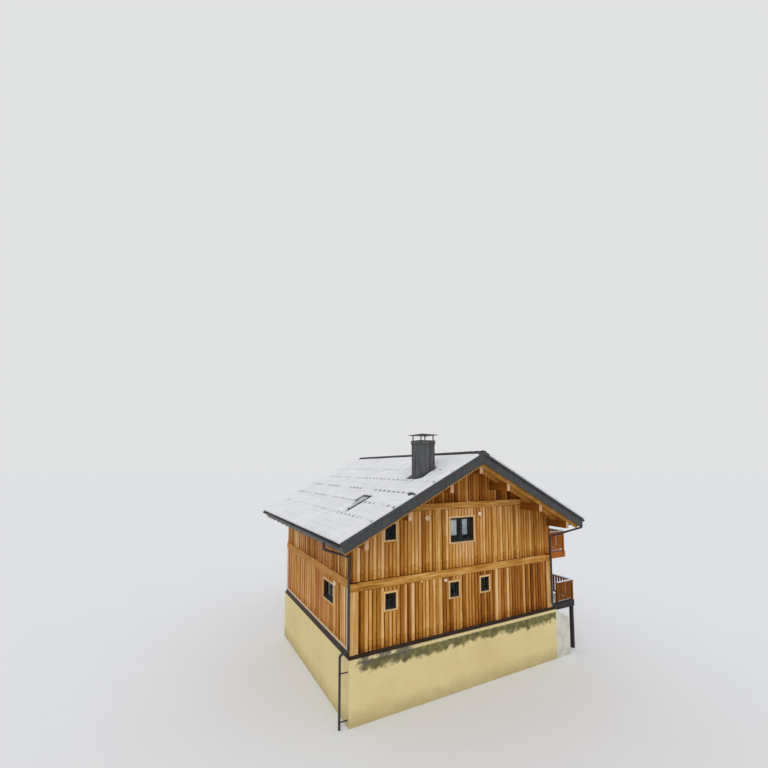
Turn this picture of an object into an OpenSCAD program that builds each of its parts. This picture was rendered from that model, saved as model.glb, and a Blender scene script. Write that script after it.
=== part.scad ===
// Alpine chalet on a slope: a rendered basement, two timber storeys, and a wide
// gable roof carried by purlins, with a terrace and a balcony on the right side.
// The origin is under the middle of the house at the lowest ground level.
// The front gable faces -Y, and all sizes are in millimetres.

/* [House] */
// Width across the gable, over the timber walls
house_w = 11700; // [10500:50:13000]
// Length along the ridge, over the timber walls
house_l = 9300; // [8400:50:11000]
// Thickness of the timber walls
wall_t = 300; // [240:10:380]
// Outer skin of the side walls that rises in front of the wall plate
wall_skin = 55; // [30:5:70]

/* [Basement] */
// Height of the basement walls above the lowest ground
basement_h = 2520; // [2300:10:2800]
// How far the basement stands out past the side walls
plinth_side = 80; // [40:5:150]
// How far the basement stands out past the gable walls
plinth_gable = 200; // [100:5:260]
// Thickness of the basement floor slab
slab_t = 200; // [150:10:300]
// Height of the metal flashing up the side walls
flash_side_h = 370; // [150:5:420]
// Height of the metal flashing up the gable walls
flash_gable_h = 80; // [40:5:150]
// Drip of the flashing past the basement walls
flash_drip = 25; // [10:1:40]
// Edge thickness of the flashing at its drip
flash_edge = 15; // [8:1:30]

/* [Floors and beams] */
// Height of the ground storey, from floor to floor
storey_h = 2830; // [2700:10:3000]
// Thickness of the two built floors
floor_t = 240; // [180:10:300]
// Height of the storey beams
beam_h = 330; // [240:5:360]
// How far beams and posts stand out from the cladding
beam_out = 60; // [30:5:90]
// Rise of the side beams above the gable beams
side_beam_rise = 140; // [0:10:200]
// Height of the collar beam's top above the upper floor
collar_top = 3000; // [2900:10:3100]
// Height of the collar beam
collar_h = 290; // [200:5:320]
// Width of the corner posts and of the beam ends above them
corner_post_w = 360; // [240:10:400]
// Width of the posts in the gables
gable_post_w = 240; // [160:10:280]
// How far the side beams' ends stand out past the gable beams
beam_end_out = 25; // [10:1:40]
// Step of those ends below the gable beams' tops
beam_end_low = 30; // [10:1:60]
// Middle of the left gable post, from the middle of the gable
left_post_x = -1540; // [-1700:10:-1480]
// Middle of the right gable post, from the middle of the gable
right_post_x = 1850; // [1750:10:2400]
// Middle of the short post under the ridge
king_post_x = 250; // [-300:10:300]
// Distance of that post's top below the ridge purlin
king_post_gap = 60; // [20:5:120]

/* [Roof] */
// Height of the roof's underside above the upper floor, at the side walls
knee_h = 2015; // [1930:5:2450]
// Slope of the roof in degrees
pitch = 26.3; // [25:0.1:27]
// Eave overhang on the left side
eave_left = 1050; // [800:10:1300]
// Eave overhang on the right side
eave_right = 900; // [700:10:1200]
// Verge overhang over the front gable
verge_front = 1440; // [1000:10:1700]
// Verge overhang over the back gable
verge_back = 2150; // [1500:10:2400]
// Thickness of the tiles with their battens
cover_t = 90; // [60:5:120]
// Thickness of the insulated roof deck
deck_t = 290; // [260:10:320]
// Height of the metal boards round the roof's edge
edge_h = 390; // [360:10:430]
// Thickness of the metal boards round the roof's edge
edge_t = 30; // [20:1:40]
// Set back of those boards from the edge of the tiles
edge_back = 20; // [10:1:40]
// Width of a side of the ridge cap
ridge_cap_w = 190; // [120:5:260]
// Thickness of the ridge cap
ridge_cap_t = 35; // [20:1:60]

/* [Roof timbers] */
// Height of a rafter, square to the roof
rafter_h = 220; // [200:5:240]
// Width of a rafter
rafter_w = 90; // [60:5:120]
// Distance of the outermost rafters behind the verge boards
verge_rafter_back = 130; // [60:10:160]
// Rafter spaces between the gable walls
rafter_bays = 9; // [8:1:11]
// Height of a purlin
purlin_h = 320; // [240:10:340]
// Width of a purlin
purlin_w = 180; // [120:10:220]
// Distance of the upper purlins from the ridge
purlin_upper_x = 1650; // [1400:10:1900]
// Distance of the lower purlins from the ridge
purlin_lower_x = 3770; // [3300:10:3900]
// Distance of the purlin ends from the verge
purlin_back = 190; // [120:10:400]

/* [Windows] */
// Middle of the left windows of both storeys, from the middle of the gable
small_x = -3990; // [-4200:10:-3700]
// Middle of the middle window of the ground floor
middle_x = -635; // [-900:5:-500]
// Middle of the right window of the ground floor
right_x = 1200; // [1000:10:1350]
// Middle of the double window
double_x = -130; // [-300:10:200]
// Middle of a side window from the middle of its wall
side_y = 2320; // [2200:10:2600]
// Width of the small windows' openings
small_w = 530; // [450:10:620]
// Height of the small windows' openings
small_h = 630; // [550:10:700]
// Width of the double window's opening
double_w = 1380; // [1200:10:1500]
// Height of the double window's opening
double_h = 1080; // [950:10:1120]
// Width of the side windows' openings
side_w = 1260; // [1000:10:1400]
// Height of the side windows' openings
side_h = 760; // [650:10:850]
// Width of the glazed door's opening
door_w = 1500; // [1200:10:1700]
// Height of the glazed door's opening
door_h = 1950; // [1800:10:2000]
// Heads of the ground floor windows below the storey beam
low_head = 285; // [160:5:400]
// Heads of the side windows below the side beam
side_head = 295; // [160:5:500]
// Head of the small upper window below the roof's underside at its corner
small_head = 590; // [450:5:750]
// Head of the double window below the collar beam
double_head = 435; // [200:5:600]
// Width of the pale boards round a window
trim_w = 95; // [60:5:110]
// Thickness of those boards
trim_t = 35; // [20:1:50]
// Width of a window frame
frame_w = 65; // [45:5:80]
// Width of the stile between two sashes
stile_w = 105; // [80:5:140]
// Depth of a window frame
frame_d = 80; // [60:5:100]
// Distance of a frame behind the wall's outer face
frame_in = 70; // [40:5:110]
// Thickness of the glazing
glass_t = 28; // [16:1:40]

/* [Skylight] */
// Width of the skylight
sky_w = 780; // [550:10:800]
// Length of the skylight down the slope
sky_l = 1180; // [900:10:1300]
// Middle of the skylight from the ridge, level
sky_x = 4720; // [4650:10:4800]
// Width of the skylight's frame
sky_frame = 70; // [50:5:90]
// Height of the skylight's frame above the tiles
sky_rise = 60; // [40:5:100]
// Depth of the frame into the roof deck
sky_seat = 80; // [40:5:140]
// Set back of the skylight's glass from the frame's top
sky_glass_in = 15; // [5:1:25]

/* [Chimney] */
// Width of the chimney's metal casing
chimney_w = 750; // [600:10:900]
// Middle of the chimney from the ridge, on the left
chimney_x = 1980; // [1800:10:2200]
// Middle of the chimney behind the front gable wall
chimney_y = 460; // [400:10:1200]
// Height of the casing's top above the ridge
chimney_rise = 530; // [300:10:800]
// Height of the collar round the casing's top
collar_band_h = 170; // [100:5:220]
// How far the collar stands out
collar_band_out = 30; // [15:1:50]
// Radius of the flue
flue_r = 125; // [80:5:160]
// Depth of the open flue
flue_depth = 900; // [500:10:1200]
// Height of the posts under the cover plate
cap_leg_h = 250; // [150:10:300]
// Width of those posts
cap_leg_w = 40; // [25:1:60]
// Rim of the cover plate past the casing
cap_rim = 110; // [60:5:160]
// Rise of the cover plate to its middle
cap_rise = 70; // [30:5:120]
// Edge thickness of the cover plate
cap_edge = 20; // [10:1:40]
// Width of the flashing round the chimney's foot
apron_w = 160; // [80:5:240]
// Thickness of that flashing
apron_t = 25; // [12:1:50]

/* [Gutters] */
// Outer radius of the half-round gutters
gutter_r = 80; // [60:1:100]
// Wall of the gutters
gutter_wall = 6; // [4:1:12]
// Radius of the downpipes
pipe_r = 48; // [35:1:60]
// Radius of a downpipe's bends, at its middle
bend_r = 120; // [90:5:180]
// How far the gutters' backs stand behind the tiles' edge
gutter_in = 50; // [40:1:70]
// Height of the wedges that hold the gutters off the sloping eave boards
wedge_h = 60; // [40:5:70]
// Width of those wedges
wedge_w = 40; // [25:5:60]
// Number of wedges under a gutter
wedges = 14; // [10:1:18]
// Gap between a downpipe and the walls and beams it passes
pipe_gap = 15; // [8:1:40]
// Distance from the basement wall to the middle of the lower pipe
low_pipe_off = 340; // [280:5:400]
// Height of the left downpipe's bend over the ledge of the basement walls
ledge_rise = 260; // [230:5:320]
// Fall of the left downpipe on its way over the ledge
ledge_fall = 50; // [20:5:100]
// Fall of the swan necks for each length of their run
neck_fall = 0.36; // [0.25:0.01:0.45]
// Length of a gutter's outlet
outlet_l = 60; // [30:5:100]
// Middle of the left outlet behind the front gable wall
outlet_left_y = 50; // [20:5:120]
// Middle of the right outlet behind the verge
outlet_right_y = 150; // [110:10:400]
// Distance of the right downpipe's side from the corner of the gable
pipe_corner = 60; // [20:5:120]
// Height of the joint above the bend at the foot of the left downpipe
left_joint_h = 230; // [200:5:400]
// Height of the joint above the flashing at the foot of the right downpipe
right_joint_h = 300; // [200:5:500]
// Length of a downpipe's shoe along the ledge
shoe_l = 180; // [140:10:260]
// Height of a pipe clip
clip_h = 40; // [20:5:60]
// Length of the foot of a clip at the near corner
clip_foot = 60; // [40:5:90]
// Distance of the clips from joints, beams and the ground
clip_clear = 250; // [150:10:350]

/* [Terrace] */
// Depth of the terrace from the basement wall
terrace_d = 1980; // [1600:10:2400]
// Length of the terrace along the wall
terrace_l = 4200; // [3800:50:5000]
// Start of the terrace behind the front gable wall
terrace_y = 150; // [0:10:400]
// Height of the terrace above the basement walls
terrace_rise = 80; // [40:5:120]
// Gap in the front railing beside the wall
terrace_gap = 700; // [600:10:900]

/* [Balcony] */
// Depth of the balcony from the side beam
balcony_d = 1380; // [1000:10:1600]
// Length of the balcony along the wall
balcony_l = 4200; // [3600:50:5000]
// Start of the balcony behind the front gable wall
balcony_y = 150; // [0:10:400]

/* [Decks and railings] */
// Thickness of the deck boards
board_t = 40; // [30:1:60]
// Height of the joists under a deck
joist_h = 190; // [140:10:240]
// Width of the joists
joist_w = 110; // [80:5:140]
// Number of joists under a deck
joists = 5; // [4:1:8]
// Height of a handrail above its deck
rail_h = 1070; // [1000:10:1150]
// Width of the railing posts
rail_post_w = 100; // [80:5:130]
// Width of a handrail
handrail_w = 150; // [120:5:180]
// Thickness of a handrail
handrail_t = 45; // [30:5:60]
// Height of the lower rail
low_rail_h = 90; // [60:5:120]
// Space under the lower rail
low_rail_gap = 110; // [80:5:140]
// Width of a railing board
paling_w = 110; // [80:5:140]
// Thickness of a railing board
paling_t = 28; // [20:1:40]
// Widest gap between railing boards
paling_gap = 60; // [30:5:90]
// Height of the skirt board in front of a deck
skirt_h = 330; // [260:10:380]
// Thickness of the skirt board
skirt_t = 35; // [25:1:50]
// Gap between the terrace boards and the flashing
deck_gap = 5; // [3:1:20]
// Width of the terrace's piers
pier_w = 160; // [120:10:240]
// Distance of the terrace's back railing from the boards' inner edge
back_rail_in = 40; // [20:5:100]

/* [Wing wall] */
// Length of the low wall beside the terrace steps
wing_l = 1050; // [700:10:1400]
// Thickness of the low wall
wing_t = 200; // [150:10:260]
// Drop of its top along its length
wing_drop = 600; // [300:10:900]
// Step of its top below the basement walls
wing_step = 20; // [0:5:60]

/* [Lamps] */
// Radius of the globe lamp
globe_r = 75; // [50:5:100]
// Side of the square lamps and of the air vent
lamp_w = 170; // [120:10:220]
// Depth of the square lamps
lamp_d = 90; // [60:5:140]
// Depth of the air vent
vent_d = 40; // [20:5:60]
// Length of the globe lamp's arm
arm_l = 60; // [40:5:100]
// Radius of the globe lamp's arm
arm_r = 30; // [15:1:40]
// Middle of the globe lamp from the middle of the gable
globe_x = -1220; // [-1350:10:-1000]
// Drop of the globe lamp's middle below the storey beam
globe_drop = 110; // [90:5:200]
// Middle of the square lamp from the middle of the gable
gable_lamp_x = 920; // [850:10:1500]
// Drop of the square lamp's middle below the collar beam's top
gable_lamp_drop = 600; // [400:10:800]
// Middle of the air vent from the middle of the gable
vent_x = -2120; // [-2600:10:-1850]
// Drop of the air vent's middle below the collar beam's top
vent_drop = 635; // [450:5:900]
// Middle of the left wall's lamp from the middle of that wall
side_lamp_y = -3210; // [-3400:10:-3150]

/* [Hidden] */

LEFT = -1;
RIGHT = 1;
FRONT = -1;
BACK = 1;
eps = 10;
seat = 0.3;
round_facets = 28;
pipe_facets = 20;

// Walls: half sizes of the outer faces, and of the rooms inside
half_w = house_w / 2;
half_l = house_l / 2;
upper_z = basement_h + storey_h;
room_w = half_w - wall_t;
room_l = half_l - wall_t;
plinth_w = half_w + plinth_side;
plinth_l = half_l + plinth_gable;

// Roof: vertical sizes of layers, and the height of each layer at a place
rise = tan(pitch);
cover_v = cover_t / cos(pitch);
deck_v = deck_t / cos(pitch);
rafter_v = rafter_h / cos(pitch);
ridge_h = upper_z + knee_h + deck_v + cover_v + rise * half_w;
function top_z(x) = ridge_h - rise * abs(x);
function soffit_z(x) = top_z(x) - cover_v - deck_v;
function under_z(x) = soffit_z(x) - rafter_v;
verge_y0 = -half_l - verge_front;
verge_y1 = half_l + verge_back;
function eave(side) = half_w + (side == LEFT ? eave_left : eave_right);

// Roof's edge over an eave, cut square to the slope: the point so far back along
// the slope from the tiles' edge and so deep below their top
function edge_x(side, back, depth) = eave(side) - back * cos(pitch) - depth * sin(pitch);
function edge_point(side, back, depth) =
    [-edge_x(side, back, depth), top_z(edge_x(side, back, depth)) - depth / cos(pitch)];

// Timbers: wall plate in the side walls, and the line of rafters
plate_x = half_w - wall_skin - purlin_w / 2;
plate_bottom = under_z(plate_x) - purlin_h;
first_rafter = room_l - rafter_w;
rafter_step = 2 * first_rafter / rafter_bays;
inner_rafters = [for (i = [0 : rafter_bays]) -first_rafter + i * rafter_step];
edge_in = edge_back + edge_t;
soffit_depth = cover_t + deck_t;
edge_depth = cover_t + edge_h;
verge_rafter_in = edge_in + verge_rafter_back + rafter_w / 2;
front_rafters = [
    verge_y0 + verge_rafter_in,
    (verge_y0 + verge_rafter_in - half_l) / 2
];
back_span = verge_y1 - verge_rafter_in - half_l;
back_rafters = [for (i = [1 : 3]) half_l + back_span * i / 3];
all_rafters = concat(front_rafters, inner_rafters, back_rafters);

// Heights of the beams
beam_z = upper_z - beam_h;
side_beam_top = upper_z + side_beam_rise;
side_beam_z = side_beam_top - beam_h;
collar_z = upper_z + collar_top;

// Windows: [middle along the wall, sill, width, height, number of sashes]
ground_sill = beam_z - low_head - small_h;
side_sill = side_beam_z - side_head - side_h;
small_sill = soffit_z(small_x - small_w / 2) - small_head - small_h;
double_sill = collar_z - collar_h - double_head - double_h;
lower_windows = [
    [small_x, ground_sill, small_w, small_h, 1],
    [middle_x, ground_sill, small_w, small_h, 1],
    [right_x, ground_sill, small_w, small_h, 1]
];
upper_windows = [
    [small_x, small_sill, small_w, small_h, 1],
    [double_x, double_sill, double_w, double_h, 2]
];
left_windows = [[-side_y, side_sill, side_w, side_h, 2]];
door_sill = basement_h + terrace_rise + board_t;
door_y = -half_l + terrace_y + terrace_l / 2;
right_windows = [
    [side_y, side_sill, side_w, side_h, 2],
    [door_y, door_sill, door_w, door_h, 2]
];

// Skylight, between two rafters
sky_bay = 1;
sky_y = -first_rafter + (sky_bay + 0.5) * rafter_step;

// Chimney
chimney_z = ridge_h + chimney_rise;
chimney_mid_y = -half_l + chimney_y;

// Terrace and balcony
terrace_x0 = plinth_w + flash_drip + deck_gap;
terrace_x1 = plinth_w + terrace_d;
terrace_z = basement_h + terrace_rise;
terrace_y0 = -half_l + terrace_y;
terrace_y1 = terrace_y0 + terrace_l;
balcony_x0 = half_w + beam_out;
balcony_x1 = balcony_x0 + balcony_d;
balcony_z = upper_z;
balcony_y0 = -half_l + balcony_y;
balcony_y1 = balcony_y0 + balcony_l;

// Colours
render_cream = [0.80, 0.74, 0.54];
concrete = [0.62, 0.61, 0.58];
anthracite = [0.25, 0.26, 0.28];
cladding = [0.66, 0.44, 0.20];
light_wood = [0.83, 0.62, 0.36];
dark_wood = [0.42, 0.27, 0.13];
pale_trim = [0.86, 0.74, 0.56];
tile_grey = [0.30, 0.31, 0.33];
glass_blue = [0.20, 0.25, 0.32];
white_lamp = [0.92, 0.92, 0.90];

// A box between two corners
module block(a, b) {
    translate(a) cube(b - a);
}

// A profile drawn as [x, z] points, pushed along Y from y0 to y1
module along_y(points, y0, y1) {
    translate([0, y1, 0])
        rotate([90, 0, 0])
            linear_extrude(height = y1 - y0) polygon(points);
}

// Turns a shape drawn for the left side over to the given side
module on_side(side) {
    if (side == RIGHT) mirror([1, 0, 0]) children();
    else children();
}

// Turns a shape drawn for the front gable over to the given gable
module on_gable(end) {
    if (end == BACK) mirror([0, 1, 0]) children();
    else children();
}

// Basement

module basement_slab() {
    color(concrete)
        block([-room_w, -room_l, 0], [room_w, room_l, slab_t]);
}

module basement_gable_wall() {
    block([-plinth_w, -plinth_l, 0], [plinth_w, -room_l, basement_h]);
}

module basement_side_wall() {
    block([-plinth_w, -room_l, 0], [-room_w, room_l, basement_h]);
}

module basement_wall_front() {
    color(render_cream) basement_gable_wall();
}

module basement_wall_back() {
    color(render_cream) on_gable(BACK) basement_gable_wall();
}

module basement_wall_left() {
    color(render_cream) basement_side_wall();
}

module basement_wall_right() {
    color(render_cream) on_side(RIGHT) basement_side_wall();
}

// Sloping metal flashing on the ledge of the basement, mitred at the corners
module plinth_flashing() {
    corner_w = plinth_w + flash_drip;
    corner_l = plinth_l + flash_drip;
    side = [
        [-half_w, basement_h], [-corner_w, basement_h],
        [-corner_w, basement_h + flash_edge], [-half_w, basement_h + flash_side_h]
    ];
    gable = [
        [-half_l, basement_h], [-corner_l, basement_h],
        [-corner_l, basement_h + flash_edge], [-half_l, basement_h + flash_gable_h]
    ];
    door_half = door_w / 2 + trim_w;
    color(anthracite) {
        on_side(LEFT) along_y(side, -half_l, half_l);
        difference() {
            on_side(RIGHT) along_y(side, -half_l, half_l);
            block([half_w - eps, door_y - door_half, door_sill],
                  [corner_w, door_y + door_half, basement_h + flash_side_h + eps]);
        }
        for (e = [FRONT, BACK]) on_gable(e)
            rotate([0, 0, 90]) along_y(gable, -corner_w, corner_w);
    }
}

// Floors

module floor_between(z) {
    block([-room_w, -room_l, z - floor_t], [room_w, room_l, z]);
}

module ground_floor() {
    color(concrete) floor_between(basement_h);
}

module upper_floor() {
    color(light_wood) floor_between(upper_z);
}

// Openings cut through a gable wall, drawn for the front
module gable_cuts(windows) {
    for (w = windows)
        block([w[0] - w[2] / 2, -half_l - eps, w[1]],
              [w[0] + w[2] / 2, -room_l + eps, w[1] + w[3]]);
}

// Openings cut through a side wall, drawn for the left
module side_cuts(windows) {
    for (w = windows)
        block([-half_w - eps, w[0] - w[2] / 2, w[1]],
              [-room_w + eps, w[0] + w[2] / 2, w[1] + w[3]]);
}

// Profile of one purlin: its top follows the slope of the rafters
function purlin_profile(x) = [
    [x - purlin_w / 2, under_z(x) - purlin_h], [x + purlin_w / 2, under_z(x) - purlin_h],
    [x + purlin_w / 2, under_z(x + purlin_w / 2)], [x - purlin_w / 2, under_z(x - purlin_w / 2)]
];

ridge_profile = [
    [-purlin_w / 2, under_z(0) - purlin_h], [purlin_w / 2, under_z(0) - purlin_h],
    [purlin_w / 2, under_z(purlin_w / 2)], [0, under_z(0)],
    [-purlin_w / 2, under_z(purlin_w / 2)]
];

side_purlin_xs = [purlin_upper_x, purlin_lower_x, plate_x];

module purlin(profile) {
    along_y(profile, verge_y0 + purlin_back, verge_y1 - purlin_back);
}

// Walls

module gable_wall_lower() {
    difference() {
        block([-half_w, -half_l, basement_h], [half_w, -room_l, upper_z]);
        gable_cuts(lower_windows);
    }
}

module gable_wall_upper() {
    difference() {
        along_y([
            [-half_w, upper_z], [half_w, upper_z], [half_w, soffit_z(half_w)],
            [0, soffit_z(0)], [-half_w, soffit_z(half_w)]
        ], -half_l, -room_l);
        gable_cuts(upper_windows);
        along_y(ridge_profile, -half_l - eps, -room_l + eps);
        for (x = side_purlin_xs, s = [LEFT, RIGHT])
            along_y(purlin_profile(s * x), -half_l - eps, -room_l + eps);
    }
}

module front_wall_lower() {
    color(cladding) gable_wall_lower();
}

module front_wall_upper() {
    color(cladding) gable_wall_upper();
}

module back_wall_lower() {
    color(cladding) on_gable(BACK) gable_wall_lower();
}

module back_wall_upper() {
    color(cladding) on_gable(BACK) gable_wall_upper();
}

// A side wall. Its outer skin stands in front of the wall plate and closes the
// spaces between the rafters
module side_wall(windows) {
    skin_x = half_w - wall_skin;
    difference() {
        along_y([
            [-half_w, basement_h], [-room_w, basement_h], [-room_w, plate_bottom],
            [-skin_x, plate_bottom], [-skin_x, soffit_z(skin_x)],
            [-half_w, soffit_z(half_w)]
        ], -room_l, room_l);
        side_cuts(windows);
        for (y = inner_rafters) rafter(LEFT, y);
    }
}

module left_wall() {
    color(cladding) side_wall(left_windows);
}

module right_wall() {
    color(cladding) on_side(RIGHT) side_wall(right_windows);
}

// Posts and beams on the outside of the walls

module corner_posts() {
    foot = basement_h + flash_gable_h;
    color(light_wood)
        for (e = [FRONT, BACK], s = [LEFT, RIGHT]) on_gable(e) on_side(s)
            block([-half_w, -half_l - beam_out, foot],
                  [-half_w + corner_post_w, -half_l, beam_z]);
}

module gable_post(x, z0, z1) {
    block([x - gable_post_w / 2, -half_l - beam_out / 2, z0],
          [x + gable_post_w / 2, -half_l, z1]);
}

module gable_posts() {
    foot = basement_h + flash_gable_h;
    color(light_wood)
        for (e = [FRONT, BACK]) on_gable(e) {
            for (x = [left_post_x, right_post_x]) {
                gable_post(x, foot, beam_z);
                gable_post(x, upper_z, collar_z - collar_h);
            }
            gable_post(king_post_x, collar_z, under_z(0) - purlin_h - king_post_gap);
        }
}

// Storey beam, collar beam and the ends of the side beams on each gable
module gable_beams() {
    collar_x = (soffit_z(0) - collar_z) / rise;
    collar_low_x = (soffit_z(0) - collar_z + collar_h) / rise;
    color(light_wood)
        for (e = [FRONT, BACK]) on_gable(e) {
            block([-half_w + corner_post_w, -half_l - beam_out, beam_z],
                  [half_w - corner_post_w, -half_l, upper_z]);
            for (s = [LEFT, RIGHT]) on_side(s)
                block([-half_w, -half_l - beam_out - beam_end_out, beam_z],
                      [-half_w + corner_post_w - seat, -half_l, upper_z - beam_end_low]);
            difference() {
                along_y([
                    [-collar_low_x, collar_z - collar_h], [collar_low_x, collar_z - collar_h],
                    [collar_x, collar_z], [-collar_x, collar_z]
                ], -half_l - beam_out, -half_l);
                for (x = side_purlin_xs, s = [LEFT, RIGHT])
                    along_y(purlin_profile(s * x), -half_l - beam_out - eps, -half_l + eps);
            }
        }
}

module side_beams() {
    color(light_wood)
        for (s = [LEFT, RIGHT]) on_side(s)
            block([-half_w - beam_out, -half_l, side_beam_z],
                  [-half_w, half_l, side_beam_top]);
}

// Roof timbers

module ridge_purlin() {
    color(light_wood) purlin(ridge_profile);
}

module purlins_left() {
    color(light_wood) for (x = side_purlin_xs) purlin(purlin_profile(-x));
}

module purlins_right() {
    color(light_wood) for (x = side_purlin_xs) purlin(purlin_profile(x));
}

// One rafter, from the ridge to the back of the eave board
module rafter(side, y) {
    on_side(side) along_y([
        edge_point(side, edge_in, soffit_depth + rafter_h), [0, under_z(0)],
        [0, soffit_z(0)], edge_point(side, edge_in, soffit_depth)
    ], y - rafter_w / 2, y + rafter_w / 2);
}

module rafters_left() {
    color(light_wood) for (y = all_rafters) rafter(LEFT, y);
}

module rafters_right() {
    color(light_wood) for (y = all_rafters) rafter(RIGHT, y);
}

// Roof

// Moves a shape onto the left slope, x from the ridge, its Z square to the roof
module on_slope(x, y) {
    translate([-x, y, top_z(x)]) rotate([0, -pitch, 0]) children();
}

module skylight_hole() {
    depth = soffit_depth + rafter_h;
    on_slope(sky_x, sky_y)
        translate([0, 0, -depth / 2 + eps])
            cube([sky_l + 2 * seat, sky_w + 2 * seat, depth + 2 * eps], center = true);
}

module roof_deck(side) {
    on_side(side) along_y([
        edge_point(side, edge_in, soffit_depth), [0, soffit_z(0)],
        [0, top_z(0) - cover_v], edge_point(side, edge_in, cover_t)
    ], verge_y0 + edge_in, verge_y1 - edge_in);
}

module roof_cover(side) {
    on_side(side) along_y([
        edge_point(side, 0, cover_t), [0, top_z(0) - cover_v],
        [0, top_z(0)], edge_point(side, 0, 0)
    ], verge_y0, verge_y1);
}

module roof_deck_left() {
    color(light_wood) difference() {
        roof_deck(LEFT);
        skylight_hole();
    }
}

module roof_deck_right() {
    color(light_wood) roof_deck(RIGHT);
}

module roof_cover_left() {
    color(tile_grey) difference() {
        roof_cover(LEFT);
        skylight_hole();
    }
}

module roof_cover_right() {
    color(tile_grey) roof_cover(RIGHT);
}

module ridge_cap() {
    w = ridge_cap_w * cos(pitch);
    color(anthracite) along_y([
        [-w, top_z(w)], [0, top_z(0)], [w, top_z(w)],
        [w, top_z(w) + ridge_cap_t], [0, top_z(0) + ridge_cap_t], [-w, top_z(w) + ridge_cap_t]
    ], verge_y0, verge_y1);
}

// Metal boards along both verges, meeting under the ridge
module verge_boards() {
    right_foot = edge_point(RIGHT, edge_back, edge_depth);
    right_top = edge_point(RIGHT, edge_back, cover_t);
    profile = [
        edge_point(LEFT, edge_back, edge_depth), [0, top_z(0) - edge_depth / cos(pitch)],
        [-right_foot[0], right_foot[1]], [-right_top[0], right_top[1]],
        [0, top_z(0) - cover_v], edge_point(LEFT, edge_back, cover_t)
    ];
    color(anthracite) {
        along_y(profile, verge_y0 + edge_back, verge_y0 + edge_back + edge_t);
        along_y(profile, verge_y1 - edge_back - edge_t, verge_y1 - edge_back);
    }
}

module eave_boards() {
    color(anthracite) for (s = [LEFT, RIGHT])
        on_side(s) along_y([
            edge_point(s, edge_back, edge_depth), edge_point(s, edge_in, edge_depth),
            edge_point(s, edge_in, cover_t), edge_point(s, edge_back, cover_t)
        ], verge_y0 + edge_in, verge_y1 - edge_in);
}

// Gutters and downpipes

function gutter_x(side) = eave(side) - gutter_in + gutter_r;
function gutter_z(side) = top_z(eave(side)) - cover_v - gutter_wall;

// Outer face of an eave board at height z
function board_x(side, z) =
    let (top = edge_point(side, edge_back, 0)) -top[0] - (top[1] - z) * tan(pitch);

// Wedges between a gutter's back and the sloping face of its eave board
module gutter_wedges(side) {
    z1 = gutter_z(side) - gutter_wall;
    z0 = z1 - wedge_h;
    in_x = gutter_x(side) - gutter_r + gutter_wall / 2;
    y0 = verge_y0 + edge_in + wedge_w;
    step = (verge_y1 - verge_y0 - 2 * edge_in - 3 * wedge_w) / (wedges - 1);
    for (i = [0 : wedges - 1])
        along_y([
            [-in_x, z0], [-board_x(side, z0), z0], [-board_x(side, z1), z1], [-in_x, z1]
        ], y0 + i * step, y0 + i * step + wedge_w);
}

// Half-round trough with closed ends, an upright back, and an outlet
module gutter(side, outlet_y) {
    y0 = verge_y0 + edge_back;
    y1 = verge_y1 - edge_back;
    inner_r = gutter_r - gutter_wall;
    translate([-gutter_x(side), 0, gutter_z(side)]) {
        difference() {
            union() {
                translate([0, y1, 0]) rotate([90, 0, 0])
                    cylinder(h = y1 - y0, r = gutter_r, $fn = round_facets);
                translate([0, outlet_y, -gutter_r - outlet_l])
                    cylinder(h = gutter_r + outlet_l, r = pipe_r, $fn = pipe_facets);
            }
            translate([0, y1 - gutter_wall, 0]) rotate([90, 0, 0])
                cylinder(h = y1 - y0 - 2 * gutter_wall, r = inner_r, $fn = round_facets);
            block([-gutter_r - eps, y0 - eps, 0], [gutter_r + eps, y1 + eps, gutter_r + eps]);
            translate([0, outlet_y, -gutter_r - outlet_l - eps])
                cylinder(h = gutter_r + outlet_l + eps, r = pipe_r - gutter_wall, $fn = pipe_facets);
        }
        block([gutter_r - gutter_wall, y0 + edge_t, -gutter_r], [gutter_r, y1 - edge_t, 0]);
    }
    gutter_wedges(side);
}

left_outlet_y = -half_l + outlet_left_y;
right_outlet_y = verge_y0 + outlet_right_y;

module gutters() {
    color(anthracite) {
        gutter(LEFT, left_outlet_y);
        on_side(RIGHT) gutter(RIGHT, right_outlet_y);
    }
}

elbow_wall = 5;
elbow_lap = 15;
joint_gap = 20;
joint_drop = 110;
socket_h = 60;
clip_bar_w = 30;
pipe_off = pipe_r + elbow_wall + pipe_gap;
function neck_z(side) = edge_point(side, edge_back, edge_depth)[1] - pipe_off;
function unit(v) = v / norm(v);
function turn_angle(a, b) = atan2(a[0] * b[1] - a[1] * b[0], a * b);

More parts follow.
